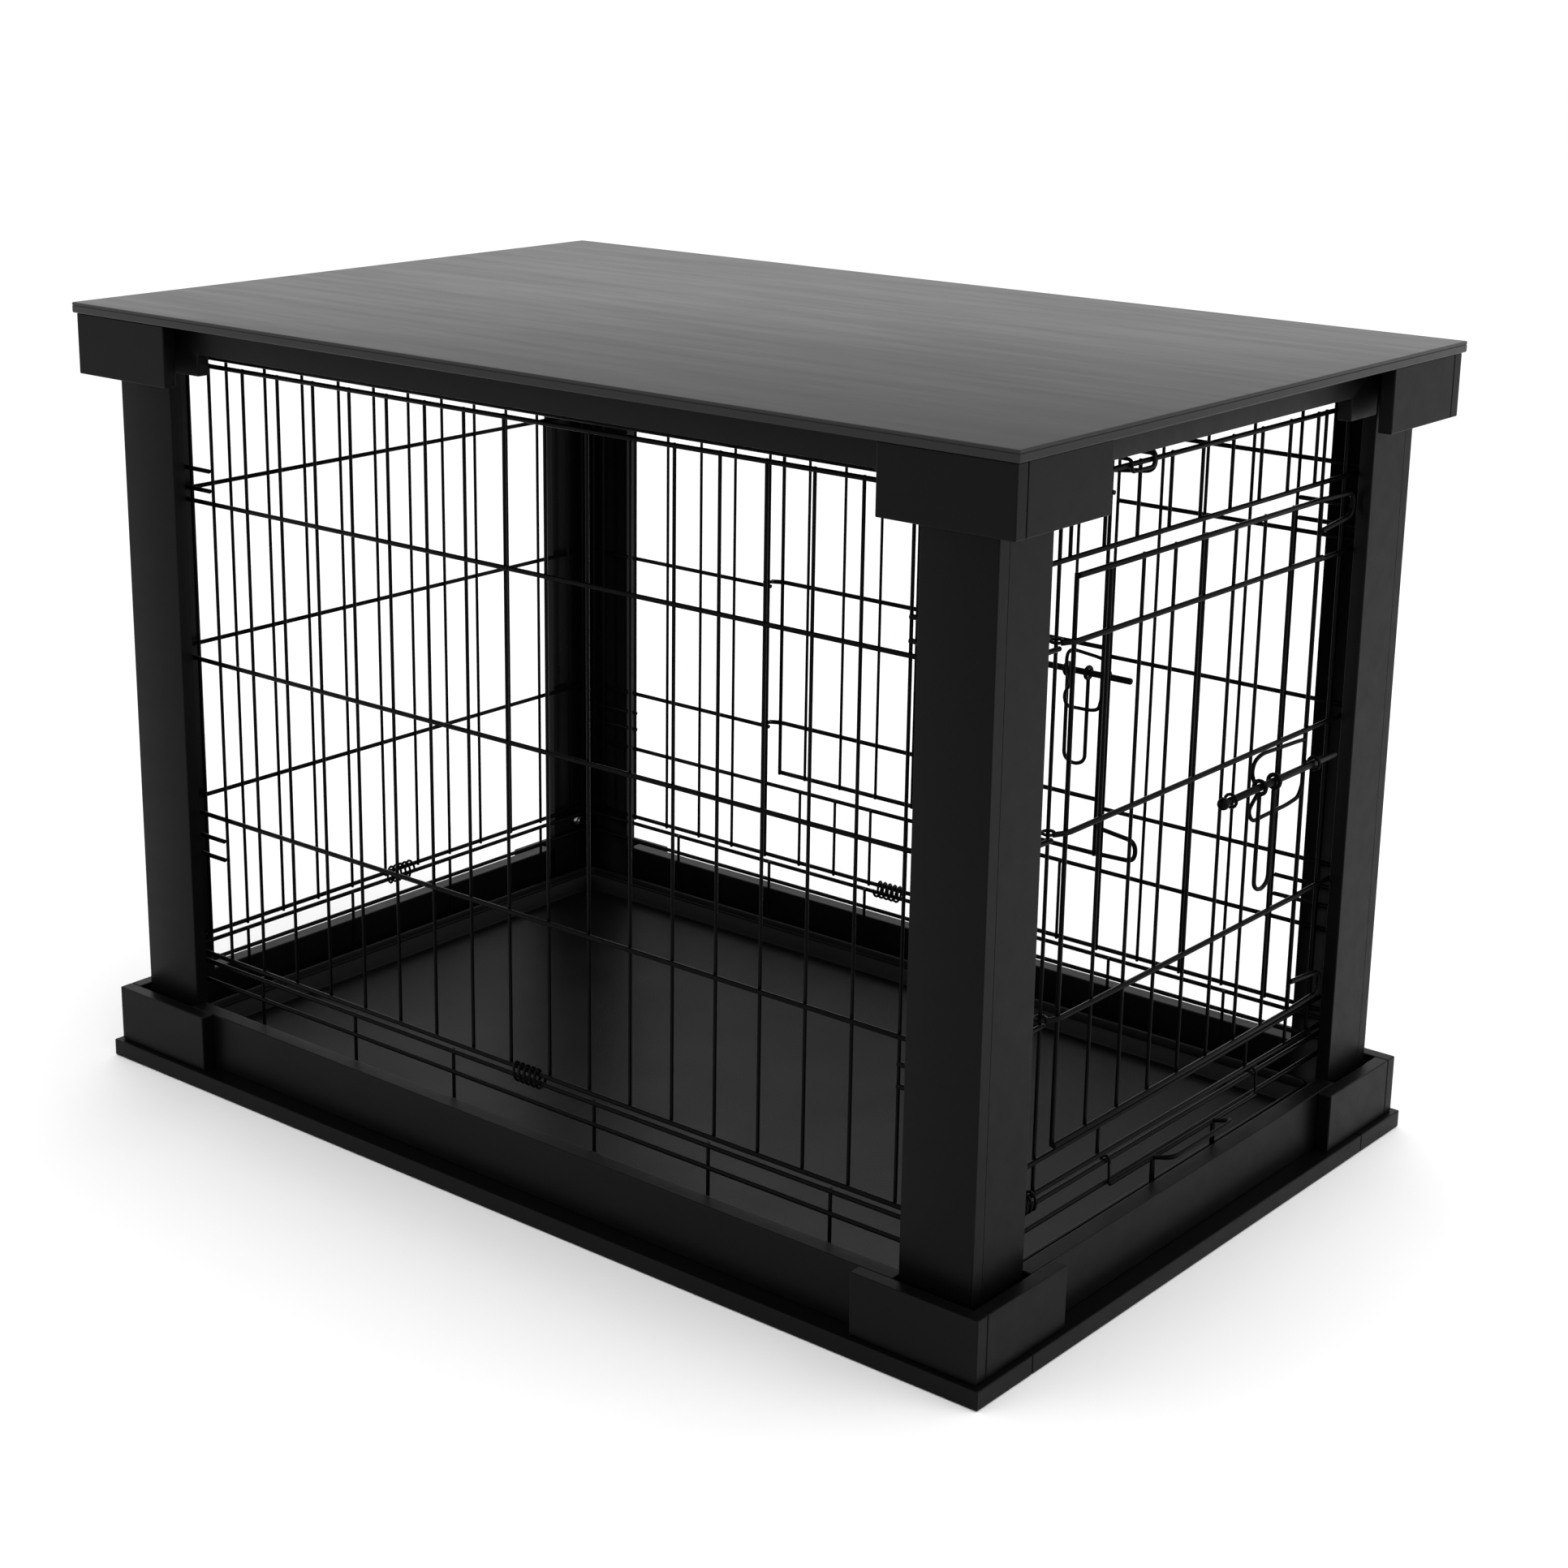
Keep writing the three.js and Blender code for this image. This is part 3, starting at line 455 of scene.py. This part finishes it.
# A bent wire through the points. Each inner corner is turned over the given length of wire on either
# side of it, or over half the way to the next point if that is shorter.
def bent_wire(bm, points, radius, bend=0.006, resolution=5, sides=2, closed=False):
    points = [Vector(point) for point in points]
    route = []
    count = len(points)
    for i, point in enumerate(points):
        if not closed and i in (0, count - 1):
            route.append(point)
            continue
        before, after = points[i - 1], points[(i + 1) % count]
        room = min(bend, (before - point).length * 0.49, (after - point).length * 0.49)
        first = point + (before - point).normalized() * room
        last = point + (after - point).normalized() * room
        for step in range(resolution + 1):
            t = step / resolution
            route.append(first.lerp(point, t).lerp(point.lerp(last, t), t))
    curve = bpy.data.curves.new("route", "CURVE")
    curve.dimensions = "3D"
    curve.bevel_depth = radius
    curve.bevel_resolution = sides
    curve.use_fill_caps = True
    spline = curve.splines.new("POLY")
    spline.points.add(len(route) - 1)
    for knot, place in zip(spline.points, route):
        knot.co = (*place, 1.0)
    spline.use_cyclic_u = closed
    holder = bpy.data.objects.new("route", curve)
    bpy.context.scene.collection.objects.link(holder)
    bpy.context.view_layer.update()
    evaluated = holder.evaluated_get(bpy.context.evaluated_depsgraph_get())
    tube = bpy.data.meshes.new_from_object(evaluated)
    bm.from_mesh(tube)
    bpy.data.objects.remove(holder)
    bpy.data.curves.remove(curve)
    bpy.data.meshes.remove(tube)


# A wire through points that already lie close together on a curve.
def curved_wire(bm, points, radius, sides=2, closed=False):
    bent_wire(bm, points, radius, bend=0.0001, resolution=1, sides=sides, closed=closed)


def finish_wire(name, bm, node, side=None):
    if side is not None:
        stand = Matrix.Translation(SIDE_PLACE[side]) @ Matrix.Rotation(SIDE_TURN[side], 4, "Z")
        bmesh.ops.transform(bm, matrix=stand, verts=bm.verts)
    bmesh.ops.remove_doubles(bm, verts=bm.verts, dist=1e-6)
    bmesh.ops.recalc_face_normals(bm, faces=bm.faces)
    return finish_piece(name, bm, wire_enamel, node, 50.0)


# Wires of a wall, as it lies in the XZ plane with its outside towards -Y.
def upright(bm, place, low, high, radius=MESH_RADIUS, out=0.0):
    straight_wire(bm, (place, -out, low), (place, -out, high), radius)


def crossbar(bm, level, start, end, radius=FRAME_RADIUS, out=RAIL_OUT):
    straight_wire(bm, (start, -out, level), (end, -out, level), radius)


# ---- Floor frame --------------------------------------------------------------------------------
# The crate's lowest part: a floor grid whose edge turns up into a low lip of two rails.
LIP_TOP = 0.098
LIP_MIDDLE = 0.080
FLOOR_LEVEL = 0.0173
LIP_UPRIGHTS = (-0.324, -0.206, -0.088, 0.069, 0.187, 0.305)
CROSS_WIRE_RISE = 0.0022
LIP_FOOT_LENGTH = 0.02
PAST_LIP = 0.001


def ring_round_crate(out, level):
    x, y = END_X + out, SIDE_Y + out
    return [(-x, -y, level), (x, -y, level), (x, y, level), (-x, y, level)]


floor_bm = bmesh.new()
for y in spread_evenly(5, 2 * SIDE_Y / 6):
    straight_wire(floor_bm, (-END_X, y, FLOOR_LEVEL), (END_X, y, FLOOR_LEVEL), MESH_RADIUS)
for x in spread_evenly(19):
    across = FLOOR_LEVEL + CROSS_WIRE_RISE
    straight_wire(floor_bm, (x, -SIDE_Y, across), (x, SIDE_Y, across), MESH_RADIUS)
bent_wire(floor_bm, ring_round_crate(0.0, FLOOR_LEVEL), DOOR_RADIUS, bend=0.008, closed=True)
for level in (LIP_MIDDLE, LIP_TOP):
    bent_wire(floor_bm, ring_round_crate(RAIL_OUT, level), FRAME_RADIUS, closed=True)
for side in (-1, 1):
    for place in LIP_UPRIGHTS:
        x = -side * place
        foot = (x, side * (SIDE_Y - LIP_FOOT_LENGTH), FLOOR_LEVEL)
        heel = (x, side * SIDE_Y, FLOOR_LEVEL)
        head = (x, side * SIDE_Y, LIP_TOP + PAST_RAIL)
        bent_wire(floor_bm, [foot, heel, head], MESH_RADIUS, bend=0.004)
    for end in (-1, 1):
        x, y = end * END_X, side * SIDE_Y
        straight_wire(floor_bm, (x, y, FLOOR_LEVEL), (x, y, LIP_TOP + PAST_LIP), DOOR_RADIUS)
for y in spread_evenly(4, 3 * PITCH):
    straight_wire(floor_bm, (-END_X, y, FLOOR_LEVEL), (-END_X, y, LIP_TOP + PAST_LIP), MESH_RADIUS)
finish_wire("wire_floor_frame", floor_bm, "floor_frame")

# ---- Walls --------------------------------------------------------------------------------------
# Each wall is a grid of thin uprights welded to thicker rails, with short catch wires near its ends
# where the next wall hooks on.
CATCH_LENGTH = 0.055
CATCH_PAIRS = ((0.1985, 0.2155), (0.5255, 0.5425))
UPRIGHT_FOOT = FOOT_LEVEL - 0.002
UPRIGHT_HEAD = WALL_TOP + PAST_RAIL
PAST_UPRIGHT = 0.001


def wall_uprights(bm, half, places):
    for place in (-half, *places, half):
        upright(bm, place, UPRIGHT_FOOT, UPRIGHT_HEAD)


def wall_rails(bm, half, levels):
    for level in levels:
        crossbar(bm, level, -half - PAST_UPRIGHT, half + PAST_UPRIGHT)


def wall_catches(bm, half):
    for sign in (-1, 1):
        for low, high in CATCH_PAIRS:
            inner = sign * (half - CATCH_LENGTH)
            outer = sign * (half + PAST_UPRIGHT)
            corners = ((inner, low), (outer, low), (outer, high), (inner, high))
            bent_wire(bm, [(x, -RAIL_OUT, z) for x, z in corners], FRAME_RADIUS, bend=0.005)


front_bm = bmesh.new()
wall_uprights(front_bm, LONG_HALF, spread_evenly(LONG_WALL_UPRIGHTS))
wall_rails(front_bm, LONG_HALF, (FOOT_LEVEL, *RAIL_LEVELS, WALL_TOP))
wall_catches(front_bm, LONG_HALF)
finish_wire("wire_front_wall", front_bm, "front_wall", "front")

left_bm = bmesh.new()
wall_uprights(left_bm, SHORT_HALF, spread_evenly(12))
wall_rails(left_bm, SHORT_HALF, (FOOT_LEVEL, *RAIL_LEVELS, WALL_TOP))
finish_wire("wire_left_wall", left_bm, "left_wall", "left")


# A wall with a doorway: uprights stop at the rails over and under it, and middle rails at its jambs.
UNDER_HEADER = 0.0018
PAST_JAMB = 0.0012


def inside_jambs(place, door):
    return abs(place) < door["jamb"] - 0.001


def doorway_wall(bm, half, places, door, under_sill):
    for place in (-half, *places, half):
        low = door["header"] - UNDER_HEADER if inside_jambs(place, door) else UPRIGHT_FOOT
        upright(bm, place, low, UPRIGHT_HEAD)
    for place in under_sill:
        upright(bm, place, UPRIGHT_FOOT, door["sill"] + PAST_RAIL)
    wall_rails(bm, half, (FOOT_LEVEL, door["sill"], door["header"], WALL_TOP))
    for level in RAIL_LEVELS:
        for sign in (-1, 1):
            crossbar(bm, level, sign * (half + PAST_UPRIGHT), sign * (door["jamb"] - PAST_JAMB))


# hand: the side the latch is on, +1 or -1 along the wall. half, jamb: half widths of door and doorway.
# eyes: where the bolt's two eyes stand. bracket: its length as a share of the end door's.
SIDE_DOOR = {
    "hand": -1, "half": 0.181, "jamb": 4.5 * PITCH, "bottom": 0.190, "top": 0.564, "sill": 0.178,
    "header": 0.576, "hook": 0.042, "uprights": 8, "eyes": (2.5 * PITCH, 0.181), "bracket": 0.46,
}
END_DOOR = {
    "hand": 1, "half": 0.172, "jamb": 0.184, "bottom": 0.141, "top": 0.566, "sill": 0.131,
    "header": 0.577, "hook": 0.048, "uprights": 7, "eyes": (PITCH, 0.172), "bracket": 1.0,
}
UNDER_END_SILL = (-0.098, 0.120)

BESIDE_JAMB = (END_DOOR["jamb"] + SHORT_HALF) / 2

back_bm = bmesh.new()
long_places = spread_evenly(LONG_WALL_UPRIGHTS)
under_side_door = [place for place in long_places if inside_jambs(place, SIDE_DOOR)]
doorway_wall(back_bm, LONG_HALF, long_places, SIDE_DOOR, under_side_door)
wall_catches(back_bm, LONG_HALF)
finish_wire("wire_back_wall", back_bm, "back_wall", "back")

right_bm = bmesh.new()
right_places = [-BESIDE_JAMB, -END_DOOR["jamb"], *spread_evenly(9), END_DOOR["jamb"], BESIDE_JAMB]
doorway_wall(right_bm, SHORT_HALF, right_places, END_DOOR, UNDER_END_SILL)
finish_wire("wire_right_wall", right_bm, "right_wall", "right")

# ---- Top grid -----------------------------------------------------------------------------------
# The crate's roof, close under the table top. A wire hook hangs from its door end.
ROOF_LEVEL = 0.6365
ROOF_CROSS_LEVEL = ROOF_LEVEL + 0.0026
ROOF_HOOK_SIDES = (-0.107, -0.077)
ROOF_HOOK_LOW = 0.6275
ROOF_HOOK_ROOT = LONG_HALF - 0.02
ROOF_HOOK_TIP = END_X + 0.006

roof_bm = bmesh.new()
for x in (-LONG_HALF, *spread_evenly(LONG_WALL_UPRIGHTS), LONG_HALF):
    straight_wire(
        roof_bm, (x, -SHORT_HALF, ROOF_CROSS_LEVEL), (x, SHORT_HALF, ROOF_CROSS_LEVEL), MESH_RADIUS
    )
roof_end = LONG_HALF + PAST_UPRIGHT
for y in (-SHORT_HALF, -SHORT_HALF / 2, 0.0, SHORT_HALF / 2, SHORT_HALF):
    straight_wire(roof_bm, (-roof_end, y, ROOF_LEVEL), (roof_end, y, ROOF_LEVEL), FRAME_RADIUS)
near_side, far_side = ROOF_HOOK_SIDES
hook_points = [
    (ROOF_HOOK_ROOT, near_side, ROOF_LEVEL),
    (ROOF_HOOK_TIP, near_side, ROOF_LEVEL),
    (ROOF_HOOK_TIP, near_side, ROOF_HOOK_LOW),
    (ROOF_HOOK_TIP, far_side, ROOF_HOOK_LOW),
    (ROOF_HOOK_TIP, far_side, ROOF_LEVEL),
    (ROOF_HOOK_ROOT, far_side, ROOF_LEVEL),
]
bent_wire(roof_bm, hook_points, MESH_RADIUS, bend=0.004)
finish_wire("wire_top_grid", roof_bm, "top_grid")

# ---- Hinge coils --------------------------------------------------------------------------------
# A close spiral of wire wound round a wall's foot wire and the lip wire under it.
COIL_RADIUS = 0.0078
COIL_FLATNESS = 0.62
COIL_WIRE = 0.0012
COIL_LENGTH = 0.029
COIL_TURNS = 5
COIL_STEPS = 14
COIL_PLACES = {
    "front": 0.0,
    "back": PITCH,
    "left": 0.0,
    "right": -(END_DOOR["jamb"] + BESIDE_JAMB) / 2,
}
for side, place in COIL_PLACES.items():
    coil_bm = bmesh.new()
    winding = []
    for step in range(COIL_TURNS * COIL_STEPS + 1):
        angle = 2 * math.pi * step / COIL_STEPS
        x = place - COIL_LENGTH / 2 + COIL_LENGTH * step / (COIL_TURNS * COIL_STEPS)
        z = (LIP_TOP + FOOT_LEVEL) / 2 + COIL_RADIUS * math.sin(angle)
        winding.append((x, -RAIL_OUT + COIL_FLATNESS * COIL_RADIUS * math.cos(angle), z))
    curved_wire(coil_bm, winding, COIL_WIRE, sides=1)
    finish_wire(f"wire_coil_{side}_1", coil_bm, f"coil_{side}_1", side)

# ---- Doors --------------------------------------------------------------------------------------
# A grid of its own in front of the doorway. Its rails turn round the wall's upright as hinges, and
# its top and bottom wires turn back in long hooks that overlap the wall on the latch side.
DOOR_MESH_OUT = 0.0069
DOOR_RAIL_OUT = 0.0096
BOLT_OUT = 0.0158
DOOR_ABOVE_RAIL = 0.0045
HOOK_HEIGHT = 0.025
HINGE_EYE = 0.0044
HINGE_EYE_WIRE = 0.0012
BOLT_LEVEL = 0.353
HINGE_EYE_STEPS = 12
HINGE_EYE_CLOSED = 0.93
HINGE_EYE_RISE = 0.0012
DOOR_EDGE_RADIUS = 0.0018
BOLT_EYE = 0.0052
BOLT_EYE_WIRE = 0.0013
BOLT_EYE_STEM = 0.0014
BRACKET_RADIUS = 0.0017
BRACKET_OUT = 0.0066


def hinge_loop(bm, door, level):
    at = -door["hand"] * door["jamb"]
    points = []
    for step in range(HINGE_EYE_STEPS + 1):
        turned = 2 * math.pi * step / HINGE_EYE_STEPS * HINGE_EYE_CLOSED
        angle = math.pi / 2 + door["hand"] * turned
        rise = HINGE_EYE_RISE * step / HINGE_EYE_STEPS
        points.append((at + HINGE_EYE * math.cos(angle), -HINGE_EYE * math.sin(angle), level + rise))
    curved_wire(bm, points, HINGE_EYE_WIRE)


# A ring round the bolt, at the given place along it.
def eye_round_bolt(bm, x, radius, wire, steps):
    points = []
    for step in range(steps):
        angle = 2 * math.pi * step / steps
        y = -BOLT_OUT + radius * math.cos(angle)
        points.append((x, y, BOLT_LEVEL + radius * math.sin(angle)))
    curved_wire(bm, points, wire, closed=True)


def door_hook(bm, door, level, rise):
    half, tip = door["half"], door["half"] + door["hook"] - 0.001
    route = (
        (half - 0.004, level), (tip, level + rise * 0.06), (tip, level + rise * 0.8), (half - 0.002, level + rise),
    )
    points = [(door["hand"] * place, -DOOR_RAIL_OUT, height) for place, height in route]
    bent_wire(bm, points, DOOR_RADIUS, bend=0.011, resolution=7)


# A bent wire bracket behind the bolt, in the plane of the door's mesh: two arms come off the door's edge
# wire, run along above and below the bolt, and meet in a bow. Each point is a distance in from the
# door's edge and a height above the bolt.
BRACKET_POINTS = (
    (0.0000, 0.0180), (0.0120, 0.0190), (0.0684, 0.0215), (0.0791, 0.0180), (0.0826, 0.0090), (0.0760, -0.0024),
    (0.0690, -0.0087), (0.0849, -0.0214), (0.0774, -0.0319), (0.0561, -0.0312), (0.0241, -0.0310),
    (0.0048, -0.0289), (0.0000, -0.0192),
)


def bolt_bracket(bm, door):
    points = []
    for inward, rise in BRACKET_POINTS:
        x = door["hand"] * (door["half"] - inward * door["bracket"])
        points.append((x, -BRACKET_OUT, BOLT_LEVEL + rise))
    bent_wire(bm, points, BRACKET_RADIUS, resolution=4)


def make_door(name, door, side):
    bm = bmesh.new()
    hand = door["hand"]
    low, high = door["bottom"] - PAST_RAIL, door["top"] + PAST_RAIL
    edge = door["half"] + 0.002
    for place in spread_evenly(door["uprights"]):
        upright(bm, place, low, high, MESH_RADIUS, DOOR_MESH_OUT)
    for sign in (-1, 1):
        upright(bm, sign * door["half"], low, high, DOOR_EDGE_RADIUS, DOOR_MESH_OUT)
    for level in (door["bottom"], door["top"]):
        crossbar(bm, level, -edge, edge, DOOR_RADIUS, DOOR_RAIL_OUT)
    hinge_x = -hand * door["jamb"]
    for level in (rail + DOOR_ABOVE_RAIL for rail in RAIL_LEVELS):
        reach = [
            (hand * edge, -DOOR_RAIL_OUT, level),
            (hinge_x + hand * 0.010, -DOOR_RAIL_OUT, level),
            (hinge_x, -HINGE_EYE, level),
        ]
        bent_wire(bm, reach, DOOR_RADIUS)
        hinge_loop(bm, door, level)
    door_hook(bm, door, door["top"], -HOOK_HEIGHT)
    door_hook(bm, door, door["bottom"], HOOK_HEIGHT)
    for place in door["eyes"]:
        at = hand * place
        eye_round_bolt(bm, at, BOLT_EYE, BOLT_EYE_WIRE, 13)
        stem = (at, -DOOR_MESH_OUT, BOLT_LEVEL), (at, -BOLT_OUT + BOLT_EYE, BOLT_LEVEL)
        straight_wire(bm, *stem, BOLT_EYE_STEM)
    bolt_bracket(bm, door)
    finish_wire(f"wire_{name}_door", bm, f"{name}_door", side)


make_door("end", END_DOOR, "right")
make_door("side", SIDE_DOOR, "back")

# ---- Bolts and their handles --------------------------------------------------------------------
# A sliding rod with a ball end, and a long wire loop that hangs from it by two rings.
BOLT_RADIUS = 0.003
BOLT_BALL = 0.0049
BOLT_START = {"end": 0.032, "side": 0.066}
BOLT_END = 0.206
HANDLE_AT = {"end": 0.098, "side": 0.150}
HANDLE_HALF = 0.011
HANDLE_DROP = 0.086
HANDLE_RADIUS = 0.0018
HANDLE_RING = BOLT_RADIUS + 0.0005 + HANDLE_RADIUS


def make_bolt(name, hand, side):
    bm = bmesh.new()
    start = (hand * BOLT_START[name], -BOLT_OUT, BOLT_LEVEL)
    straight_wire(bm, start, (hand * BOLT_END, -BOLT_OUT, BOLT_LEVEL), BOLT_RADIUS, 16)
    bmesh.ops.create_uvsphere(
        bm, u_segments=18, v_segments=12, radius=BOLT_BALL, matrix=Matrix.Translation(start)
    )
    finish_wire(f"wire_{name}_bolt", bm, f"{name}_bolt", side)

    handle_bm = bmesh.new()
    middle = hand * HANDLE_AT[name]
    first, last = middle - HANDLE_HALF, middle + HANDLE_HALF
    for x in (first, last):
        eye_round_bolt(handle_bm, x, HANDLE_RING, HANDLE_RADIUS, 14)
    top, foot = BOLT_LEVEL - HANDLE_RING, BOLT_LEVEL - HANDLE_DROP
    route = ((first, top), (first, foot + 0.004), (middle, foot - 0.001), (last, foot + 0.004), (last, top))
    points = [(x, -BOLT_OUT, z) for x, z in route]
    bent_wire(handle_bm, points, HANDLE_RADIUS, bend=0.010, resolution=8)
    finish_wire(f"wire_{name}_bolt_handle", handle_bm, f"{name}_bolt_handle", side)


make_bolt("end", 1, "right")
make_bolt("side", -1, "back")

# ---- Pan ----------------------------------------------------------------------------------------
# A shallow tray of black moulded plastic with a stepped rim and a lightly pebbled face.
PAN_STEP = 0.006
PAN_FLOOR = 0.003
PLASTIC_DARK = (0.0012, 0.0012, 0.0013, 1)
PLASTIC_LIGHT = (0.0026, 0.0026, 0.0027, 1)
PLASTIC_CLOUDS = 12.0
PEBBLES = 900.0
PEBBLE_DEPTH = 0.0003
PLASTIC_MIRROR = 0.06

pan_low, pan_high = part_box("pan")
pan_size = pan_high - pan_low
pan_middle = (pan_low + pan_high) / 2

plastic, plastic_tree, plastic_shader = new_material("black_moulded_plastic")
plastic_place = plastic_tree.nodes.new("ShaderNodeTexCoord")
pebbles = plastic_tree.nodes.new("ShaderNodeTexVoronoi")
pebbles.inputs["Scale"].default_value = PEBBLES
plastic_tree.links.new(plastic_place.outputs["Object"], pebbles.inputs["Vector"])
clouds = object_noise(plastic_tree, PLASTIC_CLOUDS)
shade(plastic_tree, plastic_shader, clouds, PLASTIC_DARK, PLASTIC_LIGHT, (0.3, 0.45))
pebbled = bump(plastic_tree, pebbles.outputs["Distance"], 0.25, PEBBLE_DEPTH)
plastic_tree.links.new(pebbled, plastic_shader.inputs["Normal"])
plastic_shader.inputs["Specular IOR Level"].default_value = PLASTIC_MIRROR

# Each ring of the tray: how far in from the edge it runs, and its height above the underside.
PAN_RIM = 0.0034
PAN_RINGS = (
    (0.0022, 0.0),
    (0.0006, 0.0005),
    (0.0, 0.0022),
    (0.0, pan_size.z - 0.001),
    (0.0003, pan_size.z - 0.0003),
    (0.001, pan_size.z),
    (PAN_RIM - 0.001, pan_size.z),
    (PAN_RIM - 0.0003, pan_size.z - 0.0003),
    (PAN_RIM, pan_size.z - 0.001),
    (PAN_RIM + 0.0006, pan_size.z - PAN_STEP + 0.0008),
    (PAN_RIM + 0.0014, pan_size.z - PAN_STEP),
    (PAN_RIM + 0.0040, pan_size.z - PAN_STEP - 0.0002),
    (PAN_RIM + 0.0048, pan_size.z - PAN_STEP - 0.001),
    (PAN_RIM + 0.0070, PAN_FLOOR + 0.0025),
    (PAN_RIM + 0.0080, PAN_FLOOR + 0.0006),
    (PAN_RIM + 0.0100, PAN_FLOOR),
)
PAN_CORNER = 0.012
PAN_SMALLEST_CORNER = 0.0015
CORNER_STEPS = 8

pan_bm = bmesh.new()
pan_rings = []
for inset, rise in PAN_RINGS:
    radius = max(PAN_CORNER - inset, PAN_SMALLEST_CORNER)
    ring = []
    for quarter, (sx, sy) in enumerate(((1, 1), (-1, 1), (-1, -1), (1, -1))):
        centre_x = pan_middle.x + sx * (pan_size.x / 2 - inset - radius)
        centre_y = pan_middle.y + sy * (pan_size.y / 2 - inset - radius)
        for step in range(CORNER_STEPS + 1):
            angle = math.pi / 2 * (quarter + step / CORNER_STEPS)
            x, y = centre_x + radius * math.cos(angle), centre_y + radius * math.sin(angle)
            ring.append(pan_bm.verts.new((x, y, pan_low.z + rise)))
    pan_rings.append(ring)
for lower, upper in zip(pan_rings, pan_rings[1:]):
    for i in range(len(lower)):
        after = (i + 1) % len(lower)
        pan_bm.faces.new((lower[i], lower[after], upper[after], upper[i]))
pan_bm.faces.new(pan_rings[-1])
pan_bm.faces.new(list(reversed(pan_rings[0])))
finish_piece("moulded_pan", pan_bm, plastic, "pan")

# ---- Pan stop -----------------------------------------------------------------------------------
# A cranked wire hung by two hooks from the door end's lip. Its legs stand in the pan's way.
STOP_RADIUS = 0.002
STOP_LEVEL = 0.080
STOP_OUT = RAIL_OUT + 0.0042
STOP_LEGS = (-0.028, 0.062)
STOP_ENDS = (-0.090, 0.128)
STOP_FOOT = 0.043
STOP_REACH = STOP_OUT + 0.018
STOP_GRIP_LEVEL = STOP_LEVEL + 0.005
STOP_HOOK = 0.0038
STOP_HOOK_WIRE = 0.0011

stop_bm = bmesh.new()
crossbar(stop_bm, STOP_LEVEL, STOP_ENDS[0], STOP_ENDS[1], STOP_RADIUS, STOP_OUT)
for place in STOP_ENDS:
    hook = []
    for step in range(11):
        angle = math.radians(-30 + 240 * step / 10)
        y, z = -RAIL_OUT - STOP_HOOK * math.cos(angle), LIP_TOP + STOP_HOOK * math.sin(angle)
        hook.append((place, y, z))
    curved_wire(stop_bm, [(place, -STOP_OUT, STOP_LEVEL)] + hook, STOP_HOOK_WIRE)
for place in STOP_LEGS:
    upright(stop_bm, place, STOP_FOOT, STOP_LEVEL, STOP_RADIUS, STOP_OUT)
grip = [
    (STOP_LEGS[0], -STOP_OUT, STOP_LEVEL),
    (STOP_LEGS[0], -STOP_REACH, STOP_GRIP_LEVEL),
    (STOP_LEGS[1], -STOP_REACH, STOP_GRIP_LEVEL),
    (STOP_LEGS[1], -STOP_OUT, STOP_LEVEL),
]
bent_wire(stop_bm, grip, STOP_RADIUS, bend=0.007)
finish_wire("wire_pan_stop", stop_bm, "pan_stop", "right")

# ---- Floor, light and surroundings --------------------------------------------------------------
# A plain pale floor and soft white light from above, from the door end and from the long side.
FLOOR_HALF = 14.0
FLOOR_DROP = 0.0005
WORLD_STRENGTH = 1.15

floor_material, _, floor_shader = new_material("pale_floor")
floor_shader.inputs["Base Color"].default_value = (0.9, 0.9, 0.9, 1)
floor_shader.inputs["Roughness"].default_value = 0.9
ground_bm = bmesh.new()
bmesh.ops.create_grid(ground_bm, x_segments=1, y_segments=1, size=FLOOR_HALF)
ground_mesh = bpy.data.meshes.new("ground")
ground_bm.to_mesh(ground_mesh)
ground_bm.free()
ground_mesh.materials.append(floor_material)
ground = bpy.data.objects.new("ground", ground_mesh)
ground.location.z = -FLOOR_DROP
bpy.context.scene.collection.objects.link(ground)


def soft_light(name, place, aim, width, height, power):
    data = bpy.data.lights.new(name, "AREA")
    data.shape = "RECTANGLE"
    data.size = width
    data.size_y = height
    data.energy = power
    lamp = bpy.data.objects.new(name, data)
    lamp.location = place
    lamp.rotation_euler = (Vector(aim) - Vector(place)).to_track_quat("-Z", "Y").to_euler()
    bpy.context.scene.collection.objects.link(lamp)


soft_light("overhead", (0.0, 0.3, 3.2), (0, 0, 0.3), 3.0, 3.0, 30.0)
soft_light("door_end", (3.2, 1.2, 1.4), (0, 0, 0.35), 2.2, 2.0, 30.0)
soft_light("long_side", (-1.6, -3.0, 1.8), (0, 0, 0.35), 1.6, 1.6, 8.0)

world = bpy.data.worlds.new("studio")
world.use_nodes = True
background = world.node_tree.nodes["Background"]
background.inputs["Color"].default_value = (1.0, 1.0, 1.0, 1.0)
background.inputs["Strength"].default_value = WORLD_STRENGTH
bpy.context.scene.world = world
bpy.context.scene.view_settings.view_transform = "Standard"
